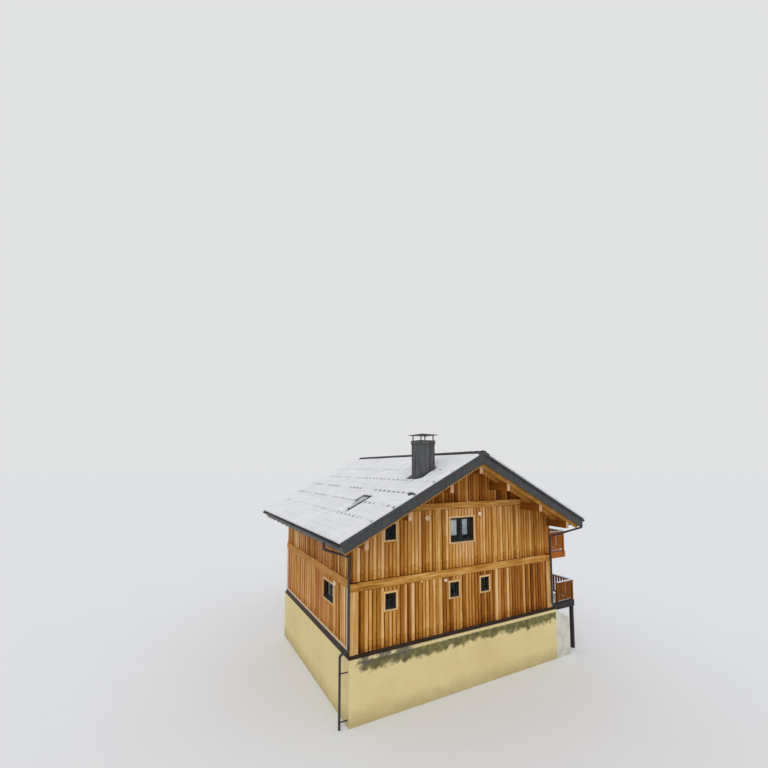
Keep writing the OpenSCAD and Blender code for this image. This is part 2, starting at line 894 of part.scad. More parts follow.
// A round pipe along [u, z] points in an upright plane, with an elbow at each
// corner that fits over the straight lengths
module pipe_run(points) {
    last = len(points) - 1;
    dirs = [for (i = [0 : last - 1]) unit(points[i + 1] - points[i])];
    turns = [for (i = [0 : last]) i == 0 || i == last ? 0 : turn_angle(dirs[i - 1], dirs[i])];
    trims = [for (a = turns) bend_r * tan(abs(a) / 2)];
    for (i = [0 : last - 1]) {
        lap_0 = i == 0 ? 0 : elbow_lap;
        lap_1 = i == last - 1 ? 0 : elbow_lap;
        start = points[i] + dirs[i] * (trims[i] - lap_0);
        len = norm(points[i + 1] - points[i]) - trims[i] - trims[i + 1] + lap_0 + lap_1;
        translate([start[0], 0, start[1]])
            rotate([0, atan2(dirs[i][0], dirs[i][1]), 0])
                cylinder(h = len, r = pipe_r, $fn = pipe_facets);
    }
    for (i = [1 : 1 : last - 1]) {
        hand = sign(turns[i]);
        inward = hand * [-dirs[i - 1][1], dirs[i - 1][0]];
        middle = points[i] - dirs[i - 1] * trims[i] + inward * bend_r;
        phase = atan2(-inward[1], -inward[0]) + min(turns[i], 0);
        translate([middle[0], 0, middle[1]])
            rotate([90, 0, 0]) rotate([0, 0, phase])
                rotate_extrude(angle = abs(turns[i]), $fn = round_facets)
                    translate([bend_r, 0]) circle(r = pipe_r + elbow_wall, $fn = pipe_facets);
    }
}

// A socket that joins two lengths of vertical pipe
module pipe_socket(x, y, z) {
    translate([x, y, z - joint_gap / 2 - socket_h / 2])
        cylinder(h = socket_h, r = pipe_r + elbow_wall, $fn = pipe_facets);
}

// The band of a pipe clip at the near corner, with a foot on the side wall's face
module corner_clip(x, y, z) {
    translate([x, y, z]) {
        cylinder(h = clip_h, r = pipe_r + elbow_wall, $fn = pipe_facets);
        linear_extrude(height = clip_h) polygon([
            [0, -clip_bar_w / 2], [pipe_off, pipe_off],
            [pipe_off, pipe_off + clip_foot], [-clip_bar_w / 2, clip_bar_w / 2]
        ]);
    }
}

// A clip that holds a vertical pipe: a band and a bar back to its wall
module pipe_clip(x, y, z, bar, angle) {
    translate([x, y, z]) {
        cylinder(h = clip_h, r = pipe_r + elbow_wall, $fn = pipe_facets);
        rotate([0, 0, angle]) block([0, -clip_bar_w / 2, 0], [bar, clip_bar_w / 2, clip_h]);
    }
}

// Left pipe: swan neck to the near corner, down just off it, then out over
// the ledge and down the basement wall
module left_downpipe() {
    low_x = -plinth_w - low_pipe_off;
    top = [-gutter_x(LEFT), left_outlet_y];
    foot = [-half_w - pipe_off, -half_l - pipe_off];
    run = norm(foot - top);
    angle = atan2(foot[1] - top[1], foot[0] - top[0]);
    z0 = gutter_z(LEFT) - gutter_r - outlet_l;
    z1 = neck_z(LEFT);
    bend_z = basement_h + ledge_rise;
    low_z = bend_z + left_joint_h;
    translate([top[0], top[1], 0]) rotate([0, 0, angle])
        pipe_run([[0, z0], [0, z1], [run, z1 - neck_fall * run], [run, low_z]]);
    translate([foot[0], foot[1], 0]) rotate([0, 0, 180])
        pipe_run([
            [0, low_z - joint_gap], [0, bend_z],
            [foot[0] - low_x, bend_z - ledge_fall], [foot[0] - low_x, 0]
        ]);
    pipe_socket(foot[0], foot[1], low_z);
    for (z = [low_z + clip_clear, (low_z + upper_z) / 2,
              beam_z - clip_clear, side_beam_top + clip_clear])
        corner_clip(foot[0], foot[1], z);
    for (z = [clip_clear, basement_h - 2 * clip_clear])
        pipe_clip(low_x, foot[1], z, low_pipe_off, 0);
}

// Right pipe: swan neck from the front end of the gutter to the gable's corner
module right_downpipe() {
    pipe_line = -half_l - beam_out - beam_end_out - pipe_gap - pipe_r;
    top = [gutter_x(RIGHT), right_outlet_y];
    foot = [half_w - pipe_r - pipe_corner, pipe_line];
    run = norm(foot - top);
    angle = atan2(foot[1] - top[1], foot[0] - top[0]);
    z0 = gutter_z(RIGHT) - gutter_r - outlet_l;
    z1 = neck_z(RIGHT);
    low_z = basement_h + flash_gable_h + right_joint_h;
    bend_z = low_z - joint_drop;
    translate([top[0], top[1], 0]) rotate([0, 0, angle])
        pipe_run([[0, z0], [0, z1], [run, z1 - neck_fall * run], [run, low_z]]);
    translate([foot[0], foot[1], 0]) rotate([0, 0, -90])
        pipe_run([[0, low_z - joint_gap], [0, bend_z], [shoe_l, bend_z - shoe_l / 2]]);
    pipe_socket(foot[0], foot[1], low_z);
    for (z = [low_z + clip_clear, (low_z + upper_z) / 2, beam_z - clip_clear])
        pipe_clip(foot[0], foot[1], z, -half_l - beam_out - pipe_line, 90);
    pipe_clip(foot[0], foot[1], upper_z + clip_clear, -half_l - pipe_line, 90);
}

module downpipes() {
    color(anthracite) {
        left_downpipe();
        right_downpipe();
    }
}

// Chimney

// The casing's upright sides, from a depth below the tiles up to z1
module chimney_shaft(z1, depth = 0) {
    x0 = -chimney_x - chimney_w / 2;
    x1 = -chimney_x + chimney_w / 2;
    along_y([
        [x0, top_z(x0) - depth], [x1, top_z(x1) - depth], [x1, z1], [x0, z1]
    ], chimney_mid_y - chimney_w / 2, chimney_mid_y + chimney_w / 2);
}

// Metal casing cut to the slope, with a collar at its top and the open flue
module chimney_casing() {
    band_w = chimney_w / 2 + collar_band_out;
    color(anthracite) difference() {
        union() {
            chimney_shaft(chimney_z);
            translate([-chimney_x, chimney_mid_y, 0])
                block([-band_w, -band_w, chimney_z - collar_band_h], [band_w, band_w, chimney_z]);
        }
        translate([-chimney_x, chimney_mid_y, chimney_z - flue_depth])
            cylinder(h = flue_depth + eps, r = flue_r, $fn = round_facets);
    }
}

// Four posts and the hipped cover plate
module chimney_cap() {
    half = chimney_w / 2 + cap_rim;
    leg = chimney_w / 2 - cap_leg_w;
    plate_z = chimney_z + cap_leg_h;
    plate = [
        [-half, plate_z], [half, plate_z], [half, plate_z + cap_edge],
        [0, plate_z + cap_edge + cap_rise], [-half, plate_z + cap_edge]
    ];
    color(anthracite) translate([-chimney_x, chimney_mid_y, 0]) {
        for (x = [-leg, leg], y = [-leg, leg])
            block([x - cap_leg_w / 2, y - cap_leg_w / 2, chimney_z],
                  [x + cap_leg_w / 2, y + cap_leg_w / 2, plate_z + cap_edge / 2]);
        intersection() {
            along_y(plate, -half, half);
            rotate([0, 0, 90]) along_y(plate, -half, half);
        }
    }
}

module chimney_flashing() {
    length = chimney_w / cos(pitch) + 2 * apron_w;
    width = chimney_w + 2 * apron_w;
    color(anthracite) difference() {
        on_slope(chimney_x, chimney_mid_y)
            translate([0, 0, apron_t / 2]) cube([length, width, apron_t], center = true);
        chimney_shaft(chimney_z, chimney_w);
    }
}

// Skylight

module skylight_frame() {
    depth = cover_t + sky_seat;
    color(anthracite) on_slope(sky_x, sky_y) difference() {
        translate([-sky_l / 2, -sky_w / 2, -depth]) cube([sky_l, sky_w, depth + sky_rise]);
        translate([-sky_l / 2 + sky_frame, -sky_w / 2 + sky_frame, -depth - eps])
            cube([sky_l - 2 * sky_frame, sky_w - 2 * sky_frame, depth + sky_rise + 2 * eps]);
    }
}

module skylight_glass() {
    color(glass_blue) on_slope(sky_x, sky_y)
        translate([-sky_l / 2 + sky_frame, -sky_w / 2 + sky_frame, sky_rise - sky_glass_in - glass_t])
            cube([sky_l - 2 * sky_frame, sky_w - 2 * sky_frame, glass_t]);
}

// Windows

// Runs its shape once for each wall, turned so that the wall faces -Y at y = 0
module on_front(end) {
    on_gable(end) translate([0, -half_l, 0]) children();
}

module on_flank(side) {
    on_side(side) translate([-half_w, 0, 0]) rotate([0, 0, -90]) mirror([1, 0, 0]) children();
}

// A ring round an opening, between two depths from the wall's face
module ring(w, grow, band, y0, y1) {
    low = [w[0] - w[2] / 2 - grow, y0, w[1] - grow];
    high = [w[0] + w[2] / 2 + grow, y1, w[1] + w[3] + grow];
    difference() {
        block(low, high);
        block([low[0] + band, y0 - eps, low[2] + band], [high[0] - band, y1 + eps, high[2] - band]);
    }
}

module trims(windows) {
    for (w = windows)
        if (w[1] > door_sill) ring(w, trim_w, trim_w, -trim_t, 0);
        else difference() {
            ring(w, trim_w, trim_w, -trim_t, 0);
            block([w[0] - w[2], -trim_t - eps, w[1] - 2 * trim_w], [w[0] + w[2], eps, w[1]]);
        }
}

// Outer frame with a stile between two sashes
module frames(windows) {
    for (w = windows) {
        ring(w, 0, frame_w, frame_in, frame_in + frame_d);
        if (w[4] == 2)
            block([w[0] - stile_w / 2, frame_in, w[1] + frame_w],
                  [w[0] + stile_w / 2, frame_in + frame_d, w[1] + w[3] - frame_w]);
    }
}

module panes(windows) {
    y0 = frame_in + (frame_d - glass_t) / 2;
    for (w = windows) {
        half = w[2] / 2 - frame_w;
        spans = w[4] == 2 ? [[-half, -stile_w / 2], [stile_w / 2, half]] : [[-half, half]];
        for (span = spans)
            block([w[0] + span[0], y0, w[1] + frame_w],
                  [w[0] + span[1], y0 + glass_t, w[1] + w[3] - frame_w]);
    }
}

all_gable_windows = concat(lower_windows, upper_windows);

module window_trims() {
    color(pale_trim) {
        for (e = [FRONT, BACK]) on_front(e) trims(all_gable_windows);
        on_flank(LEFT) trims(left_windows);
        on_flank(RIGHT) trims(right_windows);
    }
}

module window_frames() {
    color(anthracite) {
        for (e = [FRONT, BACK]) on_front(e) frames(all_gable_windows);
        on_flank(LEFT) frames(left_windows);
        on_flank(RIGHT) frames(right_windows);
    }
}

module window_glass() {
    color(glass_blue) {
        for (e = [FRONT, BACK]) on_front(e) panes(all_gable_windows);
        on_flank(LEFT) panes(left_windows);
        on_flank(RIGHT) panes(right_windows);
    }
}

// Terrace and balcony

// Boards of a railing in one bay, along X from x0 to x1, above z = 0
module palings(x0, x1, z0, z1) {
    count = ceil((x1 - x0 - paling_gap) / (paling_w + paling_gap));
    gap = (x1 - x0 - count * paling_w) / (count + 1);
    for (i = [0 : count - 1])
        block([x0 + gap + i * (paling_w + gap), -paling_t / 2, z0],
              [x0 + gap + i * (paling_w + gap) + paling_w, paling_t / 2, z1]);
}

// How far a handrail stands past the side of its posts
rail_lip = (handrail_w - rail_post_w) / 2;

// A railing panel along X from 0 to len, its middle line on y = 0. Its last post
// is left out where another panel's post stands
module railing(len, posts, lip_0, lip_1, last_post) {
    step = (len - (last_post ? rail_post_w : 0)) / (posts - 1);
    low = low_rail_gap + low_rail_h;
    for (i = [0 : posts - (last_post ? 1 : 2)])
        block([i * step, -rail_post_w / 2, 0],
              [i * step + rail_post_w, rail_post_w / 2, rail_h - handrail_t]);
    for (i = [0 : posts - 2]) {
        x0 = i * step + rail_post_w;
        x1 = (i + 1) * step;
        block([x0, -paling_t, low_rail_gap], [x1, paling_t, low]);
        palings(x0, x1, low, rail_h - handrail_t);
    }
    block([-lip_0, -handrail_w / 2, rail_h - handrail_t], [len + lip_1, handrail_w / 2, rail_h]);
}

// Joists from x0 to x1 at even places between y0 and y1, under height z
module deck_joists(x0, x1, y0, y1, z) {
    step = (y1 - y0 - joist_w) / (joists - 1);
    for (i = [0 : joists - 1])
        block([x0, y0 + i * step, z - joist_h], [x1, y0 + i * step + joist_w, z]);
}

// Deck boards on joists, with a skirt on the three open sides
module deck(x0, x1, y0, y1, z, joist_x0) {
    block([x0, y0, z - board_t], [x1, y1, z]);
    deck_joists(joist_x0, x1 - skirt_t, y0 + skirt_t, y1 - skirt_t, z - board_t);
    block([x0, y0, z - skirt_h], [x1, y0 + skirt_t, z - board_t]);
    block([x0, y1 - skirt_t, z - skirt_h], [x1, y1, z - board_t]);
    block([x1 - skirt_t, y0, z - skirt_h], [x1, y1, z - board_t]);
}

module terrace_deck() {
    pier_x = terrace_x1 - skirt_t - pier_w;
    middle_y = (terrace_y0 + terrace_y1 - pier_w) / 2;
    color(light_wood) {
        deck(terrace_x0, terrace_x1, terrace_y0, terrace_y1, terrace_z, plinth_w);
        for (y = [terrace_y0 + skirt_t, middle_y, terrace_y1 - skirt_t - pier_w])
            block([pier_x, y, 0], [pier_x + pier_w, y + pier_w, terrace_z - board_t - joist_h]);
    }
}

module balcony_deck() {
    color(light_wood)
        deck(balcony_x0, balcony_x1, balcony_y0, balcony_y1, balcony_z, balcony_x0);
}

// Front, outer and back panels of a railing round a deck
module railing_round(x0, x1, y0, y1, z, front_x0, outer_posts) {
    edge = handrail_w / 2;
    side_end = x1 - rail_lip - rail_post_w - seat;
    translate([front_x0, y0 + edge, z])
        railing(side_end - front_x0, 2, 0, -rail_lip, false);
    translate([x0, y1 - edge, z])
        railing(side_end - x0, 2, 0, -rail_lip, false);
    translate([x1 - edge, y0 + rail_lip, z]) rotate([0, 0, 90])
        railing(y1 - y0 - 2 * rail_lip, outer_posts, rail_lip, rail_lip, true);
}

module terrace_railing() {
    color(light_wood)
        railing_round(terrace_x0 + back_rail_in, terrace_x1, terrace_y0, terrace_y1, terrace_z,
                      half_w + terrace_gap, 4);
}

module balcony_railing() {
    color(light_wood)
        railing_round(balcony_x0, balcony_x1, balcony_y0, balcony_y1, balcony_z, balcony_x0, 4);
}

// Low wall with a sloping top, beside the way onto the terrace
module wing_wall() {
    x0 = plinth_w;
    x1 = plinth_w + wing_l;
    z0 = basement_h - wing_step;
    color(render_cream) along_y([
        [x0, 0], [x1, 0], [x1, z0 - wing_drop], [x0, z0]
    ], -plinth_l, -plinth_l + wing_t);
}

// Small fittings on the walls

module square_lamp(x, z, side, depth) {
    block([x - side / 2, -depth, z - side / 2], [x + side / 2, 0, z + side / 2]);
}

module wall_lamps() {
    color(white_lamp) {
        on_front(FRONT) {
            translate([globe_x, -globe_r - arm_l, beam_z - globe_drop]) {
                sphere(r = globe_r, $fn = round_facets);
                rotate([-90, 0, 0]) cylinder(h = globe_r + arm_l, r = arm_r, $fn = round_facets);
            }
            square_lamp(gable_lamp_x, collar_z - gable_lamp_drop, lamp_w, lamp_d);
            translate([vent_x, 0, collar_z - vent_drop])
                rotate([0, 45, 0]) square_lamp(0, 0, lamp_w, vent_d);
        }
        on_flank(LEFT) square_lamp(side_lamp_y, beam_z, lamp_w, lamp_d);
    }
}

basement_slab();
basement_wall_front();
basement_wall_back();
basement_wall_left();
basement_wall_right();
plinth_flashing();
ground_floor();
upper_floor();
front_wall_lower();
front_wall_upper();
back_wall_lower();
back_wall_upper();
left_wall();
right_wall();
corner_posts();
gable_posts();
gable_beams();
side_beams();
ridge_purlin();
purlins_left();
purlins_right();
rafters_left();
rafters_right();
roof_deck_left();
roof_deck_right();
roof_cover_left();
roof_cover_right();
ridge_cap();
verge_boards();
eave_boards();
gutters();
downpipes();
chimney_casing();
chimney_cap();
chimney_flashing();
skylight_frame();
skylight_glass();
window_trims();
window_frames();
window_glass();
terrace_deck();
terrace_railing();
balcony_deck();
balcony_railing();
wing_wall();
wall_lamps();
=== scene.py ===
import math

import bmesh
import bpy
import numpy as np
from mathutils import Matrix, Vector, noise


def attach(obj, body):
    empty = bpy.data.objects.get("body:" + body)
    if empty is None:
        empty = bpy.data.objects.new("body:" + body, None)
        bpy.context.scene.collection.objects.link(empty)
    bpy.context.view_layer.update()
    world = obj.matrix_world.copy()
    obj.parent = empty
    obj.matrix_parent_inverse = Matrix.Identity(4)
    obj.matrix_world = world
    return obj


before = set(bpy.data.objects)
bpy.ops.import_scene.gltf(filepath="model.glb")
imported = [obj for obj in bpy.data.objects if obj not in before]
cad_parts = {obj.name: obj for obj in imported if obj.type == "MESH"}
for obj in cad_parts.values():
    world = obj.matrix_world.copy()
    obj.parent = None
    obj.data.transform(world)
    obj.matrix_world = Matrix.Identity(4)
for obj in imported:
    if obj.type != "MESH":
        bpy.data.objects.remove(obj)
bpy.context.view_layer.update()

# The looks of an alpine chalet in snow, made around its fixed frame.
#
# Sizes are in metres, in the frame's own axes: the front gable faces -Y, the
# terrace and the balcony are on the +X side, and the ground is at z = 0.
# Many pieces are made flat on a wall or a roof slope first, and then put in
# place by that wall's or slope's matrix, so that their objects stay at the origin.

# ---- Sizes repeated from the part's source ----

HALF_W, HALF_L = 5.85, 4.65
BASE_TOP, UPPER = 2.52, 5.35
FLASH_GABLE = 0.08
PITCH = math.radians(26.3)
RISE = math.tan(PITCH)
RIDGE = 10.6802
COVER = 0.09
DECK = 0.29
LEFT, RIGHT = -1, 1
SIDES = {LEFT: "left", RIGHT: "right"}
EAVE = {LEFT: 6.90, RIGHT: 6.75}
VERGE_FRONT, VERGE_BACK = -6.09, 6.80
BEAM_Z = 5.02
SIDE_BEAM_Z, SIDE_BEAM_TOP = 5.16, 5.49
COLLAR_Z, COLLAR_TOP = 8.06, 8.35
CORNER_POST = 0.36
TRIM = 0.095
FRAME_W, FRAME_IN, STILE = 0.065, 0.07, 0.105
CHIMNEY_X, CHIMNEY_Y, CHIMNEY_W, CHIMNEY_TOP = -1.98, -4.19, 0.75, 11.21
SKY_X, SKY_Y, SKY_L, SKY_W = -4.72, -2.84, 1.18, 0.78
# Decks as (near X, far X, front Y, back Y, top)
TERRACE = (5.96, 7.91, -4.50, -0.30, 2.60)
BALCONY = (5.91, 7.29, -4.50, -0.30, 5.35)
RAIL_H = 1.07

# Width of a roof tile, and the length of it that shows
TILE_W, TILE_L = 0.30, 0.36

# Windows as (middle along X or Y, sill, width, height, sashes)
LOWER_WINDOWS = [(x, 4.105, 0.53, 0.63, 1) for x in (-3.99, -0.635, 1.20)]
DOUBLE_WINDOW = (-0.13, 6.545, 1.38, 1.08, 2)
UPPER_WINDOWS = [(-3.99, 6.933, 0.53, 0.63, 1), DOUBLE_WINDOW]
TERRACE_DOOR = (-2.40, 2.64, 1.50, 1.95, 2)
WALL_WINDOWS = {
    "front": LOWER_WINDOWS + UPPER_WINDOWS, "back": LOWER_WINDOWS + UPPER_WINDOWS,
    "left": [(-2.32, 4.105, 1.26, 0.76, 2)], "right": [(2.32, 4.105, 1.26, 0.76, 2), TERRACE_DOOR],
}


def roof_z(x):
    """Height of the tiles' top over x."""
    return RIDGE - RISE * abs(x)


def soffit_z(x):
    """Height of the roof deck's underside over x."""
    return roof_z(x) - (COVER + DECK) / math.cos(PITCH)


def slope_length(side):
    """Length of a roof slope from the ridge to the edge of its tiles."""
    return EAVE[side] / math.cos(PITCH)


# ---- Walls and slopes as places ----

WALLS = {
    "front": Matrix.Translation((0, -HALF_L, 0)),
    "back": Matrix.Translation((0, HALF_L, 0)) @ Matrix.Rotation(math.pi, 4, "Z"),
    "left": Matrix.Translation((-HALF_W, 0, 0)) @ Matrix.Rotation(-math.pi / 2, 4, "Z"),
    "right": Matrix.Translation((HALF_W, 0, 0)) @ Matrix.Rotation(math.pi / 2, 4, "Z"),
}


def on_wall(wall, windows):
    """Turns windows given along X or Y into windows along the wall, seen from outside."""
    turn = {"front": 1, "back": -1, "left": -1, "right": 1}[wall]
    return [(turn * w[0],) + tuple(w[1:]) for w in windows]


def slope(side):
    """A roof slope as a place: X runs along the ridge, Y down the slope, Z out of it."""
    c, s = math.cos(PITCH), math.sin(PITCH)
    return Matrix((
        (0, side * c, side * s, 0),
        (-side, 0, 0, 0),
        (0, -s, c, RIDGE),
        (0, 0, 0, 1),
    ))


def outline_along_x(start):
    """Turns a prism so that its outline's x runs along Y, and its length along X from start."""
    return Matrix(((0, 1, 0, start), (1, 0, 0, 0), (0, 0, 1, 0), (0, 0, 0, 1)))


def along_slope(side, y):
    """The place along a slope's X axis of a point at y."""
    return -side * y


def span_along(side, y0=VERGE_FRONT, y1=VERGE_BACK):
    """The two ends along a slope's X axis of what lies between two places along Y, from low to
    high; without places, the ends of the tiles."""
    return sorted((along_slope(side, y0), along_slope(side, y1)))


# ---- Small helpers ----

def rgb(red, green, blue):
    """A screen colour from 0 to 255 as the linear colour that renders as it."""
    linear = []
    for value in (red, green, blue):
        v = value / 255
        linear.append(v / 12.92 if v <= 0.04045 else ((v + 0.055) / 1.055) ** 2.4)
    return (*linear, 1.0)


def add(tree, kind, inputs=None, **settings):
    """Adds a node to a tree, sets it, and fills or joins its inputs."""
    node = tree.nodes.new(kind)
    for name, value in settings.items():
        setattr(node, name, value)
    for key, value in (inputs or {}).items():
        if isinstance(value, bpy.types.NodeSocket):
            tree.links.new(value, node.inputs[key])
        else:
            node.inputs[key].default_value = value
    return node


def result(tree, kind, inputs=None, **settings):
    """The first result of a node made by add."""
    return add(tree, kind, inputs, **settings).outputs[0]


def calc(tree, operation, a, b=0.0, clamp=False):
    """A Math node's result, held between 0 and 1 if clamped."""
    return result(tree, "ShaderNodeMath", {0: a, 1: b}, operation=operation, use_clamp=clamp)


def times(tree, *factors):
    """The product of some values."""
    product = factors[0]
    for factor in factors[1:]:
        product = calc(tree, "MULTIPLY", product, factor)
    return product


def plus(tree, *terms):
    """The sum of some values."""
    total = terms[0]
    for term in terms[1:]:
        total = calc(tree, "ADD", total, term)
    return total


def swing(tree, value, amount):
    """A value around one half taken to around zero, times an amount."""
    return times(tree, calc(tree, "SUBTRACT", value, 0.5), amount)


def vector_of(tree, parts):
    """A vector with its parts by number, the others 0."""
    return result(tree, "ShaderNodeCombineXYZ", parts)


def parts_of(tree, vector):
    """A vector's three parts."""
    return add(tree, "ShaderNodeSeparateXYZ", {0: vector}).outputs


def stretched(tree, vector, scale):
    """A vector scaled by other amounts along each axis."""
    return result(tree, "ShaderNodeVectorMath", {0: vector, 1: scale}, operation="MULTIPLY")


def mapped(tree, vector, **how):
    """Coordinates through a Mapping node."""
    inputs = {"Vector": vector, **{name.title(): value for name, value in how.items()}}
    return result(tree, "ShaderNodeMapping", inputs)


def blend(tree, amount, a, b, mode="MIX"):
    """Two colours mixed by an amount."""
    node = add(tree, "ShaderNodeMix", {0: amount, 6: a, 7: b}, data_type="RGBA", blend_type=mode)
    return node.outputs[2]


def spread(tree, value, low, high, to_low=0.0, to_high=1.0):
    """A value taken from one range to another, and held inside it."""
    return result(tree, "ShaderNodeMapRange", {0: value, 1: low, 2: high, 3: to_low, 4: to_high})


def ramp(tree, value, stops):
    """A colour ramp through (place, colour) stops."""
    node = add(tree, "ShaderNodeValToRGB", {0: value})
    elements = node.color_ramp.elements
    while len(elements) < len(stops):
        elements.new(0.5)
    for element, (place, color) in zip(elements, stops):
        element.position = place
        element.color = color
    return node.outputs[0]


def cloudy(tree, vector, scale, detail=3.0, rough=0.5, twist=0.0):
    """A noise texture's value."""
    return result(tree, "ShaderNodeTexNoise", {
        "Vector": vector, "Scale": scale, "Detail": detail, "Roughness": rough, "Distortion": twist,
    })


# ---- Shader node groups ----

def shader_group(name, inputs, outputs):
    """A new shader group with named sockets; gives the tree and its two end nodes."""
    tree = bpy.data.node_groups.new(name, "ShaderNodeTree")
    for label, kind, value in inputs:
        socket = tree.interface.new_socket(name=label, in_out="INPUT", socket_type="NodeSocket" + kind)
        if value is not None:
            socket.default_value = value
    for label, kind in outputs:
        tree.interface.new_socket(name=label, in_out="OUTPUT", socket_type="NodeSocket" + kind)
    return tree, tree.nodes.new("NodeGroupInput"), tree.nodes.new("NodeGroupOutput")


def make_wood_grain():
    """Softwood grain along Z, with bands, fine lines and knots, at a tone from 0, dark, to 1,
    pale. The tone also moves the pattern, so that boards of other tones have other grain."""
    tree, ins, outs = shader_group(
        "wood_grain",
        [("Vector", "Vector", None), ("Tone", "Float", 0.6), ("Contrast", "Float", 1.0)],
        [("Color", "Color"), ("Roughness", "Float"), ("Height", "Float")],
    )
    vector, tone, contrast = ins.outputs["Vector"], ins.outputs["Tone"], ins.outputs["Contrast"]
    elsewhere = vector_of(tree, {0: times(tree, tone, 7.3), 2: times(tree, tone, 31.7)})
    shifted = result(tree, "ShaderNodeVectorMath", {0: vector, 1: elsewhere}, operation="ADD")
    drawn = stretched(tree, shifted, (1, 1, 0.045))
    bands = cloudy(tree, drawn, 17, 3, 0.55, 0.5)
    lines = cloudy(tree, drawn, 95, 2, 0.6)
    blotch = cloudy(tree, stretched(tree, shifted, (1, 1, 0.3)), 2.6, 3)
    knot_cells = add(tree, "ShaderNodeTexVoronoi", {
        "Vector": stretched(tree, shifted, (1, 1, 0.42)), "Scale": 3.1, "Randomness": 1.0,
    })
    knots = spread(tree, knot_cells.outputs["Distance"], 0.035, 0.085, 1.0, 0.0)
    shade = plus(tree, swing(tree, bands, 0.62), swing(tree, lines, 0.30), swing(tree, blotch, 0.40))
    value = calc(tree, "ADD", tone, times(tree, shade, contrast), True)
    color = ramp(tree, value, [
        (0.0, rgb(60, 30, 8)), (0.22, rgb(114, 62, 14)), (0.42, rgb(154, 95, 26)),
        (0.62, rgb(190, 132, 54)), (0.82, rgb(218, 168, 98)), (1.0, rgb(238, 202, 150)),
    ])
    color = blend(tree, times(tree, knots, 0.6), color, rgb(82, 42, 18))
    tree.links.new(color, outs.inputs["Color"])
    tree.links.new(spread(tree, lines, 0.3, 0.7, 0.62, 0.78), outs.inputs["Roughness"])
    tree.links.new(plus(tree, times(tree, bands, 0.5), lines), outs.inputs["Height"])
    return tree


def make_soiling():
    """Soft dark stains with an amount of their own, as rain and dust leave them."""
    tree, ins, outs = shader_group(
        "soiling",
        [("Color", "Color", rgb(128, 128, 128)), ("Vector", "Vector", None), ("Scale", "Float", 1.5),
         ("Amount", "Float", 0.4), ("Soil", "Color", rgb(90, 84, 70))],
        [("Color", "Color"), ("Mask", "Float")],
    )
    clouds = cloudy(tree, ins.outputs["Vector"], ins.outputs["Scale"], 5, 0.62)
    mask = calc(tree, "MULTIPLY", spread(tree, clouds, 0.42, 0.72), ins.outputs["Amount"], True)
    tree.links.new(blend(tree, mask, ins.outputs["Color"], ins.outputs["Soil"]), outs.inputs["Color"])
    tree.links.new(mask, outs.inputs["Mask"])
    return tree


def make_speckle():
    """Fine mottling of a mineral surface: a colour varied up and down, and its height."""
    tree, ins, outs = shader_group(
        "speckle",
        [("Color", "Color", rgb(128, 128, 128)), ("Vector", "Vector", None), ("Scale", "Float", 60.0),
         ("Amount", "Float", 0.15)],
        [("Color", "Color"), ("Height", "Float")],
    )
    fine = cloudy(tree, ins.outputs["Vector"], ins.outputs["Scale"], 4, 0.65)
    lift = plus(tree, 1.0, swing(tree, fine, times(tree, ins.outputs["Amount"], 2.0)))
    grey = result(tree, "ShaderNodeCombineColor", {0: lift, 1: lift, 2: lift})
    tree.links.new(blend(tree, 1.0, ins.outputs["Color"], grey, "MULTIPLY"), outs.inputs["Color"])
    tree.links.new(fine, outs.inputs["Height"])
    return tree


WOOD_GRAIN = make_wood_grain()
SOILING = make_soiling()
SPECKLE = make_speckle()


def use(tree, group, inputs):
    """Places a shader group in a material's tree."""
    return add(tree, "ShaderNodeGroup", inputs, node_tree=group).outputs


# ---- Materials ----

# Turns of the coordinates that lay the grain, which runs along Z, along a piece.
ALONG_X = (0, math.pi / 2, 0)
ALONG_Y = (math.pi / 2, 0, 0)
ALONG_Z = (0, 0, 0)
DOWN_LEFT = (0, math.pi / 2 - PITCH, 0)
DOWN_RIGHT = (0, math.pi / 2 + PITCH, 0)


# The scene's materials under the names that they are made with
MATERIALS = {}


def new_material(name, **plain):
    """A material with its shader's plain values set; gives its tree, shader and coordinates."""
    made = MATERIALS[name] = bpy.data.materials.new(name)
    made.use_nodes = True
    tree = made.node_tree
    shader = tree.nodes["Principled BSDF"]
    for label, value in plain.items():
        shader.inputs[label.replace("_", " ").title().replace("Ior", "IOR")].default_value = value
    place = add(tree, "ShaderNodeTexCoord").outputs["Object"]
    return tree, shader, place


def bump(tree, shader, height, strength, distance):
    """Joins a height to the shader's normal."""
    node = add(tree, "ShaderNodeBump", {"Strength": strength, "Distance": distance, "Height": height})
    tree.links.new(node.outputs[0], shader.inputs["Normal"])


